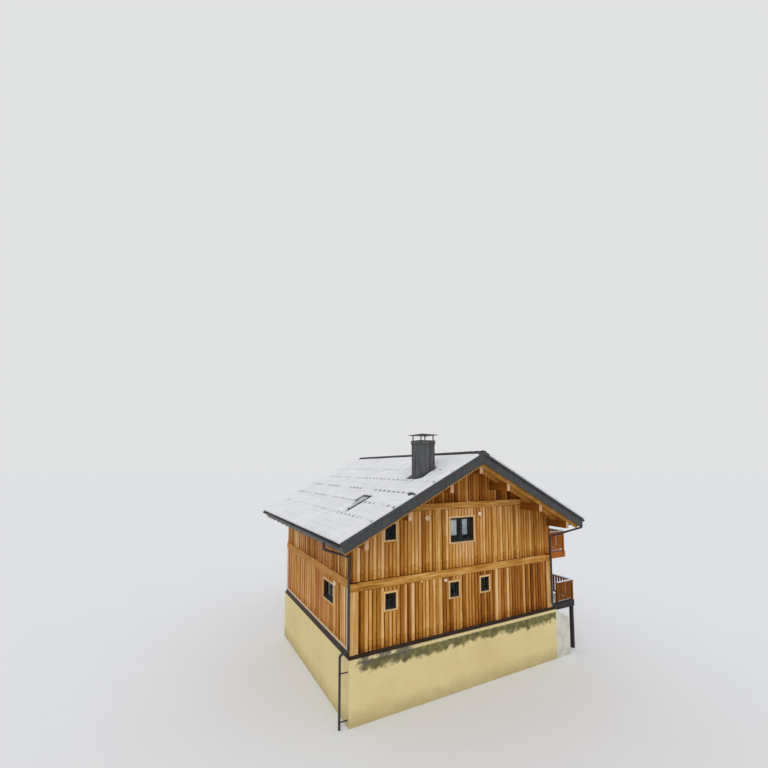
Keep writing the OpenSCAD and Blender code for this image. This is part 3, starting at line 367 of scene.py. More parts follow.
def wood(name, turn, tone, contrast=1.0, damp=0.0, stain=None, stain_share=0.77, ends=None):
    """Beams, posts and boards. The grain runs along Z after the coordinates' turn. A stain is a
    colour over the grain, and ends are the places along Y in front of and behind which the
    saw has left pale end grain."""
    tree, shader, place = new_material(name, specular_ior_level=0.15)
    turned = mapped(tree, place, rotation=turn)
    grain = use(tree, WOOD_GRAIN, {"Vector": turned, "Tone": tone, "Contrast": contrast})
    soiled = use(tree, SOILING, {"Color": grain["Color"], "Vector": place, "Scale": 0.9,
                                 "Amount": 0.25 + damp, "Soil": rgb(112, 66, 20)})
    color = soiled["Color"]
    if stain:
        share = spread(tree, cloudy(tree, place, 5, 4, 0.6), 0.3, 0.7, stain_share - 0.15, stain_share + 0.15)
        color = blend(tree, share, color, stain)
    if ends:
        y = parts_of(tree, place)[1]
        sawn = plus(tree, spread(tree, y, ends[0], ends[0] + 0.004, 1.0, 0.0),
                    spread(tree, y, ends[1] - 0.004, ends[1], 0.0, 1.0))
        rings = spread(tree, cloudy(tree, place, 24, 3), 0.3, 0.7)
        color = blend(tree, sawn, color, blend(tree, rings, rgb(176, 128, 92), rgb(226, 192, 156)))
    tree.links.new(color, shader.inputs["Base Color"])
    tree.links.new(grain["Roughness"], shader.inputs["Roughness"])
    bump(tree, shader, grain["Height"], 0.35, 0.004)


def board_wood(name, turn=ALONG_Z, splash=0.20, red=0.26):
    """Boards, each with its own tone, darker at the foot by splash, darker towards the +X side as painted
    shade, in paler and darker groups, and with a share of red in some places."""
    tree, shader, place = new_material(name, specular_ior_level=0.12)
    turned = mapped(tree, place, rotation=turn)
    tone = add(tree, "ShaderNodeAttribute", attribute_name="board_tone").outputs["Fac"]
    foot = add(tree, "ShaderNodeAttribute", attribute_name="above_foot").outputs["Fac"]
    ragged = plus(tree, foot, times(tree, cloudy(tree, place, 7, 3), 0.35))
    wet = spread(tree, ragged, 0.16, 0.62, splash, 0.0)
    flat = stretched(tree, place, (1, 1, 0.12))
    group = swing(tree, cloudy(tree, flat, 0.55, 2), 0.32)
    # Painted shade: the boards grow darker towards the +X side.
    painted_shade_right = spread(tree, parts_of(tree, place)[0], 0.5, 5.0, 0.0, 0.13)
    own_tone = calc(tree, "SUBTRACT", plus(tree, tone, group), plus(tree, wet, painted_shade_right))
    grain = use(tree, WOOD_GRAIN, {"Vector": turned, "Tone": own_tone, "Contrast": 0.9})
    redder = blend(tree, spread(tree, cloudy(tree, flat, 0.8, 2), 0.4, 0.75, 0.0, red),
                   grain["Color"], rgb(168, 84, 24))
    tree.links.new(redder, shader.inputs["Base Color"])
    tree.links.new(grain["Roughness"], shader.inputs["Roughness"])
    bump(tree, shader, grain["Height"], 0.4, 0.004)


def sheet_metal(name, color, metallic=0.35, streak=0.25, gloss=0.5):
    """Coated metal sheet, with faint streaks down it and dulled patches."""
    tree, shader, place = new_material(name, metallic=metallic, specular_ior_level=gloss)
    drawn = mapped(tree, place, scale=(1, 1, 0.15))
    streaks = cloudy(tree, drawn, 6, 4, 0.6)
    dull = blend(tree, spread(tree, streaks, 0.38, 0.68, 0.0, streak), color, rgb(112, 113, 114))
    soiled = use(tree, SOILING, {"Color": dull, "Vector": place, "Scale": 3.0, "Amount": 0.35,
                                 "Soil": rgb(40, 38, 34)})
    tree.links.new(soiled["Color"], shader.inputs["Base Color"])
    tree.links.new(spread(tree, streaks, 0.3, 0.7, 0.36, 0.58), shader.inputs["Roughness"])
    bump(tree, shader, cloudy(tree, place, 9, 2), 0.08, 0.01)


def render_coat():
    """Cream render, mottled, dirty near the ground. Under the front gable it has a pale line
    along its top, a torn band of moss below, and grey stains near the left corner."""
    tree, shader, place = new_material("cream_render", roughness=0.9, specular_ior_level=0.2)
    x, y, z = parts_of(tree, place)
    patchy = use(tree, SOILING, {"Color": rgb(224, 206, 152), "Vector": place, "Scale": 0.55,
                                 "Amount": 0.55, "Soil": rgb(208, 188, 130)})
    grainy = use(tree, SPECKLE, {"Color": patchy["Color"], "Vector": place, "Scale": 38.0, "Amount": 0.10})
    torn = plus(tree, z, times(tree, cloudy(tree, place, 2.2, 5, 0.65), 0.9))
    front = spread(tree, y, -4.83, -4.80, 1.0, 0.0)
    off_corner = spread(tree, plus(tree, x, cloudy(tree, place, 3, 3)), -5.1, -4.9)
    under = times(tree, front, off_corner)
    below_line = spread(tree, plus(tree, z, times(tree, cloudy(tree, place, 6, 3), 0.08)),
                        BASE_TOP - 0.13, BASE_TOP - 0.09, 1.0, 0.0)
    moss_band = times(tree, spread(tree, torn, 2.34, 2.50), below_line)
    moss = blend(tree, spread(tree, cloudy(tree, place, 4, 4, 0.65), 0.4, 0.62),
                 rgb(62, 60, 32), rgb(112, 112, 62))
    mossy = blend(tree, times(tree, moss_band, under, 0.88), grainy["Color"], moss)
    near_corner = spread(tree, plus(tree, x, times(tree, cloudy(tree, place, 0.9, 3), 1.4)),
                         -2.7, -2.3, 1.0, 0.0)
    stained = times(tree, spread(tree, torn, 2.5, 2.75), near_corner,
                    spread(tree, cloudy(tree, place, 2.0, 4, 0.6), 0.42, 0.54))
    greyed = blend(tree, times(tree, stained, under, 0.85), mossy, rgb(92, 88, 80))
    foot = spread(tree, torn, 0.45, 1.15, 0.5, 0.0)
    tree.links.new(blend(tree, foot, greyed, rgb(138, 124, 86)), shader.inputs["Base Color"])
    bump(tree, shader, cloudy(tree, place, 85, 3, 0.6), 0.3, 0.004)


def plain_mineral(name, color, scale=40.0, amount=0.2, roughness=0.85):
    """Concrete, tiles and other plain mineral surfaces."""
    tree, shader, place = new_material(name, roughness=roughness, specular_ior_level=0.3)
    grainy = use(tree, SPECKLE, {"Color": color, "Vector": place, "Scale": scale, "Amount": amount})
    soiled = use(tree, SOILING, {"Color": grainy["Color"], "Vector": place, "Scale": 1.7, "Amount": 0.35,
                                 "Soil": rgb(52, 50, 46)})
    tree.links.new(soiled["Color"], shader.inputs["Base Color"])
    bump(tree, shader, grainy["Height"], 0.3, 0.004)


def snow_cover():
    """Settled snow: near white, soft, with a grainy skin, painted shade in faint grey patches and in streaks
    along the tile courses under it, and grey over the snow stops, partly where it lies thinly and partly as
    painted shade of its dents there."""
    tree, shader, place = new_material("settled_snow", roughness=0.75, specular_ior_level=0.25)
    # Painted shade: faint grey patches over the snow.
    hollow_shade = spread(tree, cloudy(tree, place, 1.3, 4, 0.6), 0.35, 0.7)
    color = blend(tree, hollow_shade, rgb(217, 218, 220), rgb(229, 229, 230))
    # Painted shade: grey streaks along the tile courses under the snow.
    course_step = TILE_L * math.sin(PITCH)
    course = calc(tree, "SINE", times(tree, parts_of(tree, place)[2], 2 * math.pi / course_step))
    lengths = mapped(tree, place, scale=(1, 0.35, 1))
    streak = times(tree, spread(tree, course, 0.2, 1.0),
                   spread(tree, cloudy(tree, lengths, 1.6, 4, 0.65), 0.46, 0.70, 0.0, 0.55))
    color = blend(tree, streak, color, rgb(198, 199, 203))
    thin = add(tree, "ShaderNodeAttribute", attribute_name="thin_snow_and_dent_shade").outputs["Fac"]
    # Grey over the stops: partly the stops showing through thin snow, partly painted shade of the dents
    # there.
    color = blend(tree, thin, color, rgb(112, 114, 118))
    tree.links.new(color, shader.inputs["Base Color"])
    grains = plus(tree, cloudy(tree, place, 28, 4, 0.6), times(tree, cloudy(tree, place, 160, 2), 0.3))
    bump(tree, shader, grains, 0.35, 0.012)


def window_glass(name, tint, clear=1.0):
    """Panes, with a clear share of less than one where they are frosted."""
    tree, shader, place = new_material(name, transmission_weight=clear, ior=1.22)
    haze = spread(tree, cloudy(tree, place, 3, 3), 0.3, 0.7, 0.0, 0.03)
    tree.links.new(haze, shader.inputs["Roughness"])
    clean = blend(tree, spread(tree, cloudy(tree, place, 1.1, 2), 0.3, 0.7), tint, (1, 1, 1, 1))
    tree.links.new(clean, shader.inputs["Base Color"])


def curtain_cloth():
    """Woven grey-white cloth with fine threads."""
    tree, shader, place = new_material("curtain_cloth", roughness=0.9, sheen_weight=0.2)
    threads = [add(tree, "ShaderNodeTexWave", {
        "Vector": place, "Scale": 90.0, "Distortion": 1.0, "Detail": 1.0}, bands_direction=axis).outputs[1]
        for axis in ("Z", "X")]
    weave = plus(tree, *threads)
    tree.links.new(blend(tree, spread(tree, weave, 0.0, 2.0), rgb(218, 221, 226), rgb(240, 241, 244)),
                   shader.inputs["Base Color"])
    bump(tree, shader, weave, 0.15, 0.001)


def opal_lamp():
    """White lamp glass and coated metal of the small wall fittings."""
    tree, shader, place = new_material("lamp_white", roughness=0.35, coat_weight=0.2)
    dusty = use(tree, SOILING, {"Color": rgb(226, 216, 196), "Vector": place, "Scale": 14.0,
                                "Amount": 0.3, "Soil": rgb(186, 168, 138)})
    tree.links.new(dusty["Color"], shader.inputs["Base Color"])
    bump(tree, shader, cloudy(tree, place, 60, 2), 0.05, 0.002)


wood("beam_wood_x", ALONG_X, tone=0.64, contrast=1.5)
wood("beam_wood_y", ALONG_Y, tone=0.64, ends=(-4.735, 4.735))
wood("post_wood", ALONG_Z, tone=0.82, contrast=0.9)
# The purlins' low tone is painted shade under the roof; their sawn ends stay pale.
wood("purlin_wood_painted_shade", ALONG_Y, tone=0.36, contrast=0.9, ends=(-5.899, 6.609))
wood("rafter_wood_left", DOWN_LEFT, tone=0.66, contrast=0.8)
wood("rafter_wood_right", DOWN_RIGHT, tone=0.66, contrast=0.8)
wood("deck_wood", ALONG_Y, tone=0.36, contrast=0.9, damp=0.2)
wood("slate_wood", ALONG_Y, tone=0.2, contrast=0.8, damp=0.2, stain=rgb(50, 51, 58), stain_share=0.92)
wood("railing_wood", ALONG_Z, tone=0.28, contrast=1.1, damp=0.1)
wood("balcony_wood", ALONG_Z, tone=0.50, contrast=1.2, stain=rgb(178, 88, 30), stain_share=0.5)
wood("trim_wood", ALONG_Z, tone=0.92, contrast=0.35)
wood("grey_board", ALONG_Z, tone=0.86, contrast=0.5, stain=rgb(206, 184, 160), stain_share=0.88)
board_wood("cladding_boards")
board_wood("side_boards", red=0.75)
board_wood("soffit_boards_left", DOWN_LEFT, splash=0.0)
board_wood("soffit_boards_right", DOWN_RIGHT, splash=0.0)
sheet_metal("edge_metal", rgb(62, 64, 66))
sheet_metal("flashing_metal", rgb(56, 46, 38), metallic=0.0, streak=0.14, gloss=0.08)
sheet_metal("casing_metal", rgb(62, 64, 66), metallic=0.3, streak=0.75)
sheet_metal("gutter_metal", rgb(56, 58, 61), metallic=0.45)
sheet_metal("frame_paint", rgb(30, 33, 38), metallic=0.0, streak=0.05, gloss=0.25)
render_coat()
plain_mineral("pale_render", rgb(214, 211, 198), scale=38.0, amount=0.10, roughness=0.9)
plain_mineral("floor_concrete", rgb(150, 148, 142))
plain_mineral("roof_tiles", rgb(66, 66, 68), scale=55.0, amount=0.25, roughness=0.7)
snow_cover()
window_glass("window_glass", rgb(204, 214, 222))
window_glass("roof_window_glass", rgb(134, 152, 146), clear=0.25)
curtain_cloth()
opal_lamp()

# The nodes of the frame under the material that each takes
FINISHED_NODES = {
    "floor_concrete": ["basement_slab", "ground_floor"],
    "cream_render": ["basement_wall_front", "basement_wall_back", "basement_wall_left",
                     "basement_wall_right"],
    "pale_render": ["wing_wall"],
    # The walls behind the cladding carry no board tone, so they take the darkest wood: painted shade in the
    # gaps between boards and inside the house.
    "cladding_boards": ["front_wall_lower", "front_wall_upper", "back_wall_lower", "back_wall_upper",
                        "left_wall", "right_wall"],
    "deck_wood": ["upper_floor"],
    "post_wood": ["corner_posts", "gable_posts"],
    "beam_wood_x": ["gable_beams"],
    "beam_wood_y": ["side_beams", "roof_deck_left", "roof_deck_right"],
    "purlin_wood_painted_shade": ["ridge_purlin", "purlins_left", "purlins_right"],
    "rafter_wood_left": ["rafters_left"],
    "rafter_wood_right": ["rafters_right"],
    "roof_tiles": ["roof_cover_left", "roof_cover_right"],
    "edge_metal": ["ridge_cap", "verge_boards", "eave_boards", "chimney_flashing"],
    "gutter_metal": ["gutters", "downpipes"],
    "casing_metal": ["chimney_casing", "chimney_cap"],
    "flashing_metal": ["plinth_flashing"],
    "frame_paint": ["skylight_frame", "window_frames"],
    "roof_window_glass": ["skylight_glass"],
    "window_glass": ["window_glass"],
    "trim_wood": ["window_trims"],
    "slate_wood": ["terrace_deck"],
    "railing_wood": ["terrace_railing"],
    "balcony_wood": ["balcony_deck", "balcony_railing"],
    "lamp_white": ["wall_lamps"],
}
for finish, node_names in FINISHED_NODES.items():
    for node_name in node_names:
        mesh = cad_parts[node_name].data
        mesh.materials.clear()
        mesh.materials.append(MATERIALS[finish])


# ---- Making pieces ----

def piece(name, mesh, finish, smooth=False):
    """Links a finished mesh as a piece of the house that rides on its one body."""
    made = bpy.data.objects.new(name, mesh)
    bpy.context.scene.collection.objects.link(made)
    if finish:
        mesh.materials.clear()
        mesh.materials.append(MATERIALS[finish])
    if smooth:
        mesh.shade_smooth()
    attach(made, "root")
    return made


def mesh_of(name, build):
    """A mesh filled by build(bm), with its doubles merged and its faces turned outwards."""
    bm = bmesh.new()
    build(bm)
    bmesh.ops.remove_doubles(bm, verts=bm.verts, dist=1e-6)
    bmesh.ops.recalc_face_normals(bm, faces=bm.faces)
    made = bpy.data.meshes.new(name)
    bm.to_mesh(made)
    bm.free()
    return made


def shape(name, build, finish, smooth=False):
    """A piece made by build(bm), in the place that it is built in."""
    return piece(name, mesh_of(name, build), finish, smooth)


def bridge(bm, a, b, closed=True):
    """Faces from one row of points to another row of as many, round the whole ring if closed."""
    count = len(a)
    for i in range(count if closed else count - 1):
        j = (i + 1) % count
        bm.faces.new((a[i], a[j], b[j], b[i]))


def add_block(bm, low, high):
    """A box between two corners, its faces pointing outwards."""
    size = [b - a for a, b in zip(low, high)]
    middle = [(a + b) / 2 for a, b in zip(low, high)]
    bmesh.ops.create_cube(bm, size=1.0, matrix=Matrix.Translation(middle) @ Matrix.Diagonal((*size, 1)))


def add_rod(bm, middle, turned_about, radius, length, sides):
    """A round rod about its middle, standing along Z and then turned square about an axis."""
    place = Matrix.Translation(middle) @ Matrix.Rotation(math.pi / 2, 4, turned_about)
    bmesh.ops.create_cone(bm, cap_ends=True, segments=sides, radius1=radius, radius2=radius,
                          depth=length, matrix=place)


def add_prism(bm, outline, place, length):
    """A closed outline of (x, z) points pushed from y = 0 to length, then put in place."""
    ends = []
    for y in (0.0, length):
        ends.append([bm.verts.new(place @ Vector((x, y, z))) for x, z in outline])
    bm.faces.new(ends[0])
    bm.faces.new(list(reversed(ends[1])))
    bridge(bm, ends[1], ends[0])


# ---- Geometry node trees ----

# Width of the narrowest board in a row, against the full width
NARROWEST = 0.70


def geometry_tree(name, inputs):
    """A new geometry tree with named inputs; gives the tree and its two end nodes."""
    tree = bpy.data.node_groups.new(name, "GeometryNodeTree")
    tree.is_modifier = True
    tree.interface.new_socket(name="Geometry", in_out="INPUT", socket_type="NodeSocketGeometry")
    tree.interface.new_socket(name="Geometry", in_out="OUTPUT", socket_type="NodeSocketGeometry")
    for label, kind in inputs:
        tree.interface.new_socket(name=label, in_out="INPUT", socket_type="NodeSocket" + kind)
    return tree, tree.nodes.new("NodeGroupInput").outputs, tree.nodes.new("NodeGroupOutput").inputs


def grow(name, tree, mesh, values, place):
    """Runs a geometry tree on a mesh, and gives the resulting plain mesh put in place."""
    holder = bpy.data.objects.new(name + "_holder", mesh)
    bpy.context.scene.collection.objects.link(holder)
    modifier = holder.modifiers.new("grow", "NODES")
    modifier.node_group = tree
    for item in tree.interface.items_tree:
        if item.item_type == "SOCKET" and item.in_out == "INPUT" and item.name in values:
            modifier[item.identifier] = values[item.name]
    holder.update_tag()
    evaluated = holder.evaluated_get(bpy.context.evaluated_depsgraph_get())
    made = bpy.data.meshes.new_from_object(evaluated)
    made.name = name
    bpy.data.objects.remove(holder)
    made.transform(place)
    return made


def chance_of(tree, low, high, seed, kind="FLOAT"):
    """A random value for each element between low and high."""
    ends = {0: low, 1: high} if kind == "FLOAT_VECTOR" else {2: low, 3: high}
    node = add(tree, "FunctionNodeRandomValue", {**ends, "Seed": seed}, data_type=kind)
    return node.outputs[0 if kind == "FLOAT_VECTOR" else 1]


def store(tree, geometry, name, value, domain):
    """Keeps a value on the geometry under a name."""
    inputs = {"Geometry": geometry, "Name": name, "Value": value}
    return result(tree, "GeometryNodeStoreNamedAttribute", inputs, data_type="FLOAT", domain=domain)


def grown(name, tree, build, values, place):
    """A piece that a geometry tree grows from the mesh made by build(bm)."""
    return piece(name, grow(name, tree, mesh_of(name + "_start", build), values, place), None)


def make_board_row():
    """A row of boards along X that stand on y = 0 and rise along Z, each with its own tone and
    width, and every other one paler by the beat. The input mesh is cut away from them."""
    tree, ins, outs = geometry_tree("board_row", [
        ("Start", "Float"), ("Length", "Float"), ("Height", "Float"), ("Pitch", "Float"),
        ("Width", "Float"), ("Depth", "Float"), ("Back", "Float"), ("Tone", "Float"),
        ("Tone Spread", "Float"), ("Beat", "Float"), ("Seed", "Int"), ("Wood", "Material"),
    ])
    count = calc(tree, "FLOOR", plus(tree, calc(tree, "DIVIDE", ins["Length"], ins["Pitch"]), 0.01))
    places = result(tree, "GeometryNodeMeshLine", {
        "Count": count, "Start Location": vector_of(tree, {0: ins["Start"]}),
        "Offset": vector_of(tree, {0: ins["Pitch"]}),
    })
    board = result(tree, "GeometryNodeMeshCube", {
        "Size": vector_of(tree, {0: ins["Width"], 1: ins["Depth"], 2: ins["Height"]}),
    })
    set_back = calc(tree, "SUBTRACT", ins["Back"], calc(tree, "DIVIDE", ins["Depth"], 2.0))
    board = result(tree, "GeometryNodeTransform", {
        "Geometry": board,
        "Translation": vector_of(tree, {1: set_back, 2: calc(tree, "DIVIDE", ins["Height"], 2.0)}),
    })
    narrow = chance_of(tree, NARROWEST, 1.0, ins["Seed"])
    boards = result(tree, "GeometryNodeInstanceOnPoints", {
        "Points": places, "Instance": board, "Scale": vector_of(tree, {0: narrow, 1: 1.0, 2: 1.0}),
    })
    tone = chance_of(tree, calc(tree, "SUBTRACT", ins["Tone"], ins["Tone Spread"]),
                     plus(tree, ins["Tone"], ins["Tone Spread"]), plus(tree, ins["Seed"], 11))
    other = calc(tree, "MODULO", result(tree, "GeometryNodeInputIndex"), 2.0)
    paired = plus(tree, tone, swing(tree, other, ins["Beat"]))
    toned = store(tree, boards, "tone", paired, "INSTANCE")
    solid = result(tree, "GeometryNodeRealizeInstances", {0: toned})
    own_tone = result(tree, "GeometryNodeInputNamedAttribute", {"Name": "tone"}, data_type="FLOAT")
    solid = store(tree, solid, "board_tone", own_tone, "FACE")
    cut = result(tree, "GeometryNodeMeshBoolean", {"Mesh 1": solid, "Mesh 2": ins["Geometry"]},
                 operation="DIFFERENCE", solver="EXACT")
    height = parts_of(tree, result(tree, "GeometryNodeInputPosition"))[2]
    marked = store(tree, cut, "above_foot", height, "POINT")
    finished = result(tree, "GeometryNodeSetMaterial", {"Geometry": marked, "Material": ins["Wood"]})
    tree.links.new(finished, outs["Geometry"])
    return tree


def make_array():
    """Copies of the input mesh in rows and columns on the XY plane, each turned a little."""
    tree, ins, outs = geometry_tree("grid_of_copies", [
        ("Columns", "Int"), ("Column Step", "Float"), ("Rows", "Int"), ("Row Step", "Float"),
        ("First", "Vector"), ("Wobble", "Float"), ("Share", "Float"), ("Seed", "Int"),
        ("Finish", "Material"),
    ])
    column = result(tree, "GeometryNodeMeshLine", {
        "Count": ins["Columns"], "Start Location": ins["First"],
        "Offset": vector_of(tree, {0: ins["Column Step"]}),
    })
    row = result(tree, "GeometryNodeMeshLine", {
        "Count": ins["Rows"], "Offset": vector_of(tree, {1: ins["Row Step"]}),
    })
    columns = result(tree, "GeometryNodeInstanceOnPoints", {"Points": row, "Instance": column})
    grid = result(tree, "GeometryNodeRealizeInstances", {0: columns})
    low, high = [result(tree, "ShaderNodeVectorMath", {0: way, "Scale": ins["Wobble"]}, operation="SCALE")
                 for way in ((-1, -1, -1), (1, 1, 1))]
    turn = chance_of(tree, low, high, ins["Seed"], "FLOAT_VECTOR")
    chance = chance_of(tree, 0.0, 1.0, ins["Seed"])
    copies = result(tree, "GeometryNodeInstanceOnPoints", {
        "Points": grid, "Instance": ins["Geometry"], "Rotation": turn,
        "Selection": calc(tree, "LESS_THAN", chance, ins["Share"]),
    })
    real = result(tree, "GeometryNodeRealizeInstances", {0: copies})
    finished = result(tree, "GeometryNodeSetMaterial", {"Geometry": real, "Material": ins["Finish"]})
    tree.links.new(finished, outs["Geometry"])
    return tree


BOARD_ROW = make_board_row()
GRID_OF_COPIES = make_array()


# ---- Cladding ----

BOARD_PITCH = 0.186
# The boards end this far above a beam, so that the darkest wood of the wall behind shows as a painted shadow
# line.
BOARD_END = 0.03
SIDE_FOOT, SIDE_HEAD = BASE_TOP + 0.26, 7.11
TOP_HALF, TOP_HEAD = 4.4, 10.2
CORNER_BOARD = 0.24
# Rows of cladding as (name, width, depth, place of the back face, tone and spread of tones against
# those of the field); the boards' lower tone is painted shade on the recessed boards, the strips' higher tone
# painted light on the proud strips
CLADDING_ROWS = (
    ("boards", 0.178, 0.016, 0.004, -0.20, 0.26),
    ("strips", 0.142, 0.024, -0.011, 0.08, 0.30),
)


def window_cutters(bm, windows, foot):
    """Boxes over the windows and most of their trims, for boards that stand on foot."""
    around = TRIM - 0.01
    for middle, sill, width, height, _ in windows:
        half = width / 2 + around
        add_block(bm, (middle - half, -0.2, sill - around - foot),
                  (middle + half, 0.2, sill + height + around - foot))


def roof_cutter(bm, foot):
    """A block over the slopes of a gable, for boards that stand on foot."""
    reach, over = 8.0, 13.0
    outline = [(-reach, soffit_z(reach) - foot), (0, soffit_z(0) - foot), (reach, soffit_z(reach) - foot),
               (reach, over), (-reach, over)]
    add_prism(bm, outline, Matrix.Translation((0, -0.3, 0)), 0.6)


def clad(name, wall, start, end, foot, head, seed, tone, uneven, beat=0.10, windows=(), sloped=False,
         finish="cladding_boards"):
    """Boards and cover strips on one field of a wall, from start to end and foot to head, under
    the roof where it is sloped, their tones around one tone and as uneven as given."""
    def cutters(bm):
        window_cutters(bm, on_wall(wall, windows), foot)
        if sloped:
            roof_cutter(bm, foot)
        add_block(bm, (end, -0.3, -1), (end + 1, 0.3, head - foot + 1))

    place = WALLS[wall] @ Matrix.Translation((0, 0, foot))
    length = end - start
    pitch = length / round(length / BOARD_PITCH)
    # Each row's tone shift is painted shade on the recessed boards and painted light on the proud strips.
    for row, width, depth, back, light_and_shade_shift, tone_spread in CLADDING_ROWS:
        shift = pitch / 2 if row == "strips" else 0.0
        values = {
            "Start": start + pitch / 2 + shift, "Length": length - shift, "Height": head - foot,
            "Pitch": pitch, "Width": width, "Depth": depth, "Back": back, "Tone": tone + light_and_shade_shift,
            "Tone Spread": tone_spread * uneven, "Beat": beat, "Seed": seed + len(row),
            "Wood": MATERIALS[finish],
        }
        grown(f"{name}_{row}", BOARD_ROW, cutters, values, place)


GABLE_X = HALF_W - CORNER_POST
SIDE_Y = HALF_L - CORNER_BOARD
for seed, wall in ((100, "front"), (200, "back")):
    clad(f"cladding_{wall}_lower", wall, -GABLE_X, GABLE_X, BASE_TOP + FLASH_GABLE, BEAM_Z - 0.02,
         seed, tone=0.50, uneven=0.95, beat=0.22, windows=LOWER_WINDOWS)
    clad(f"cladding_{wall}_upper", wall, -HALF_W, HALF_W, UPPER + BOARD_END, COLLAR_Z - 0.02,
         seed + 20, tone=0.64, uneven=0.60, windows=UPPER_WINDOWS, sloped=True)
    clad(f"cladding_{wall}_top", wall, -TOP_HALF, TOP_HALF, COLLAR_TOP + BOARD_END, TOP_HEAD,
         seed + 40, tone=0.42, uneven=0.70, sloped=True)
for seed, wall in ((300, "left"), (400, "right")):
    clad(f"cladding_{wall}_lower", wall, -SIDE_Y, SIDE_Y, SIDE_FOOT, SIDE_BEAM_Z,
         seed, tone=0.66, uneven=0.60, beat=0.20, windows=WALL_WINDOWS[wall], finish="side_boards")
    clad(f"cladding_{wall}_upper", wall, -HALF_L, HALF_L, SIDE_BEAM_TOP, SIDE_HEAD,
         seed + 20, tone=0.60, uneven=0.75, beat=0.20, finish="side_boards")


def corner_boards(bm):
    """Boards that cover the cladding's edges at the ends of both side walls, their outer edges
    chamfered."""
    outline = [(0.0, -0.002), (0.0, -0.032), (0.006, -0.040), (CORNER_BOARD - 0.006, -0.040),
               (CORNER_BOARD, -0.032), (CORNER_BOARD, -0.002)]
    for wall in ("left", "right"):
        for x in (-HALF_L, SIDE_Y):
            turn = WALLS[wall] @ Matrix(((1, 0, 0, x), (0, 0, 1, 0), (0, 1, 0, SIDE_FOOT), (0, 0, 0, 1)))
            add_prism(bm, outline, turn, SIDE_BEAM_Z - SIDE_FOOT)


def foot_laths(bm):
    """A pale lath over the cladding's feet along both side walls, on the flashing's slope, with
    a gap at the terrace's door."""
    outline = [(-0.020, SIDE_FOOT - 0.010), (-0.052, SIDE_FOOT - 0.018), (-0.054, SIDE_FOOT + 0.060),
               (-0.044, SIDE_FOOT + 0.072), (-0.010, SIDE_FOOT + 0.078)]
    door, half = TERRACE_DOOR[0], TERRACE_DOOR[2] / 2 + TRIM + 0.01
    spans = [("left", -HALF_L, HALF_L), ("right", -HALF_L, door - half), ("right", door + half, HALF_L)]
    for wall, start, end in spans:
        add_prism(bm, outline, WALLS[wall] @ outline_along_x(start), end - start)


shape("corner_boards", corner_boards, "grey_board")
shape("foot_laths", foot_laths, "grey_board")


# ---- Copies in rows ----

def rows_of(name, build, place, finish, columns=1, column_step=1.0, rows=1, row_step=1.0,
            first=(0, 0, 0), wobble=0.0, share=1.0, seed=1):
    """Copies of one small shape in columns along X and rows along Y, turned a little by the
    wobble, with a share of them kept, and put in place as a piece."""
    values = {
        "Columns": columns, "Column Step": column_step, "Rows": rows, "Row Step": row_step,
        "First": first, "Wobble": wobble, "Share": share, "Seed": seed, "Finish": MATERIALS[finish],
    }
    grown(name, GRID_OF_COPIES, build, values, place)


# ---- Roof tiles ----

TILE_NOSE = 0.014


def one_tile(bm):
    """A flat tile with a rolled edge, lifted at its nose by the tile under it."""
    section = [(-0.150, 0.002), (-0.140, 0.018), (-0.118, 0.022), (-0.098, 0.010), (0.0, 0.006),
               (0.120, 0.008), (0.148, 0.002)]
    over, under = [], []
    for v in (0.0, TILE_L + 0.02):
        lift = TILE_NOSE * v / TILE_L
        over.append([bm.verts.new((x, v, z + lift)) for x, z in section])
        under.append([bm.verts.new((x, v, -0.006)) for x in (section[0][0], section[-1][0])])
    for i in range(len(section) - 1):
        bm.faces.new((over[0][i], over[0][i + 1], over[1][i + 1], over[1][i]))
    bm.faces.new((*reversed(over[0]), *under[0]))
    bm.faces.new((*over[1], *reversed(under[1])))
    bm.faces.new((over[0][0], over[1][0], under[1][0], under[0][0]))
    bm.faces.new((over[0][-1], under[0][1], under[1][1], over[1][-1]))
    bm.faces.new((under[0][0], under[1][0], under[1][1], under[0][1]))


def lay_tiles(side, name):
    """Courses of tiles on a slope, as many as fit from its lower edge up."""
    low, high = span_along(side)
    columns = int((high - low) / TILE_W)
    step = (high - low) / columns
    courses = int((slope_length(side) - 0.12) / TILE_L)
    first = (low + step / 2, slope_length(side) - courses * TILE_L - 0.02, 0.0)
    rows_of("tiles_" + name, one_tile, slope(side), "roof_tiles", columns=columns,
            column_step=step, rows=courses, row_step=TILE_L, first=first, wobble=0.0015, seed=5)


for side, name in SIDES.items():
    lay_tiles(side, name)


# ---- Snow ----

# Rows of snow stops as (place down the slope, how far they show through the snow)
STOPS = [(0.87 + 1.065 * row, shown) for row, shown in enumerate((0.12, 0.40, 0.75, 1.0, 0.85, 0.55))]
STOP_PITCH, STOP_W = 0.42, 0.044
SNOW_T = 0.075
# Where the snow starts under the ridge, and how far it hangs over the tiles at verges and eave
SNOW_TOP, OVER_VERGE, OVER_EAVE = 0.36, 0.036, 0.025
UNDER_TILES = -0.02
# Cells of the square lattice behind the soft noise
LATTICE = 64


def soft_noise(u, v, size, seed):
    """Smooth random bumps from -1 to 1 over grids of points, about as wide as size."""
    lattice = np.random.default_rng(seed).uniform(-1, 1, (LATTICE, LATTICE))
    x, y = u / size + LATTICE / 2, v / size + LATTICE / 2
    i, j = np.floor(x).astype(int), np.floor(y).astype(int)
    fx, fy = x - i, y - j
    fx, fy = fx * fx * (3 - 2 * fx), fy * fy * (3 - 2 * fy)

    def at(di, dj):
        return lattice[(i + di) % LATTICE, (j + dj) % LATTICE]

    return (at(0, 0) * (1 - fx) + at(1, 0) * fx) * (1 - fy) + (at(0, 1) * (1 - fx) + at(1, 1) * fx) * fy


def round_edge(distance, radius):
    """From 0 at an edge to 1 at a radius inside it, as a rounded shoulder."""
    t = np.clip(distance / radius, 0, 1)
    return np.sqrt(1 - (1 - t) ** 2)


def ease(value, low, high):
    """A soft step from 0 at low to 1 at high."""
    t = np.clip((value - low) / (high - low), 0, 1)
    return t * t * (3 - 2 * t)


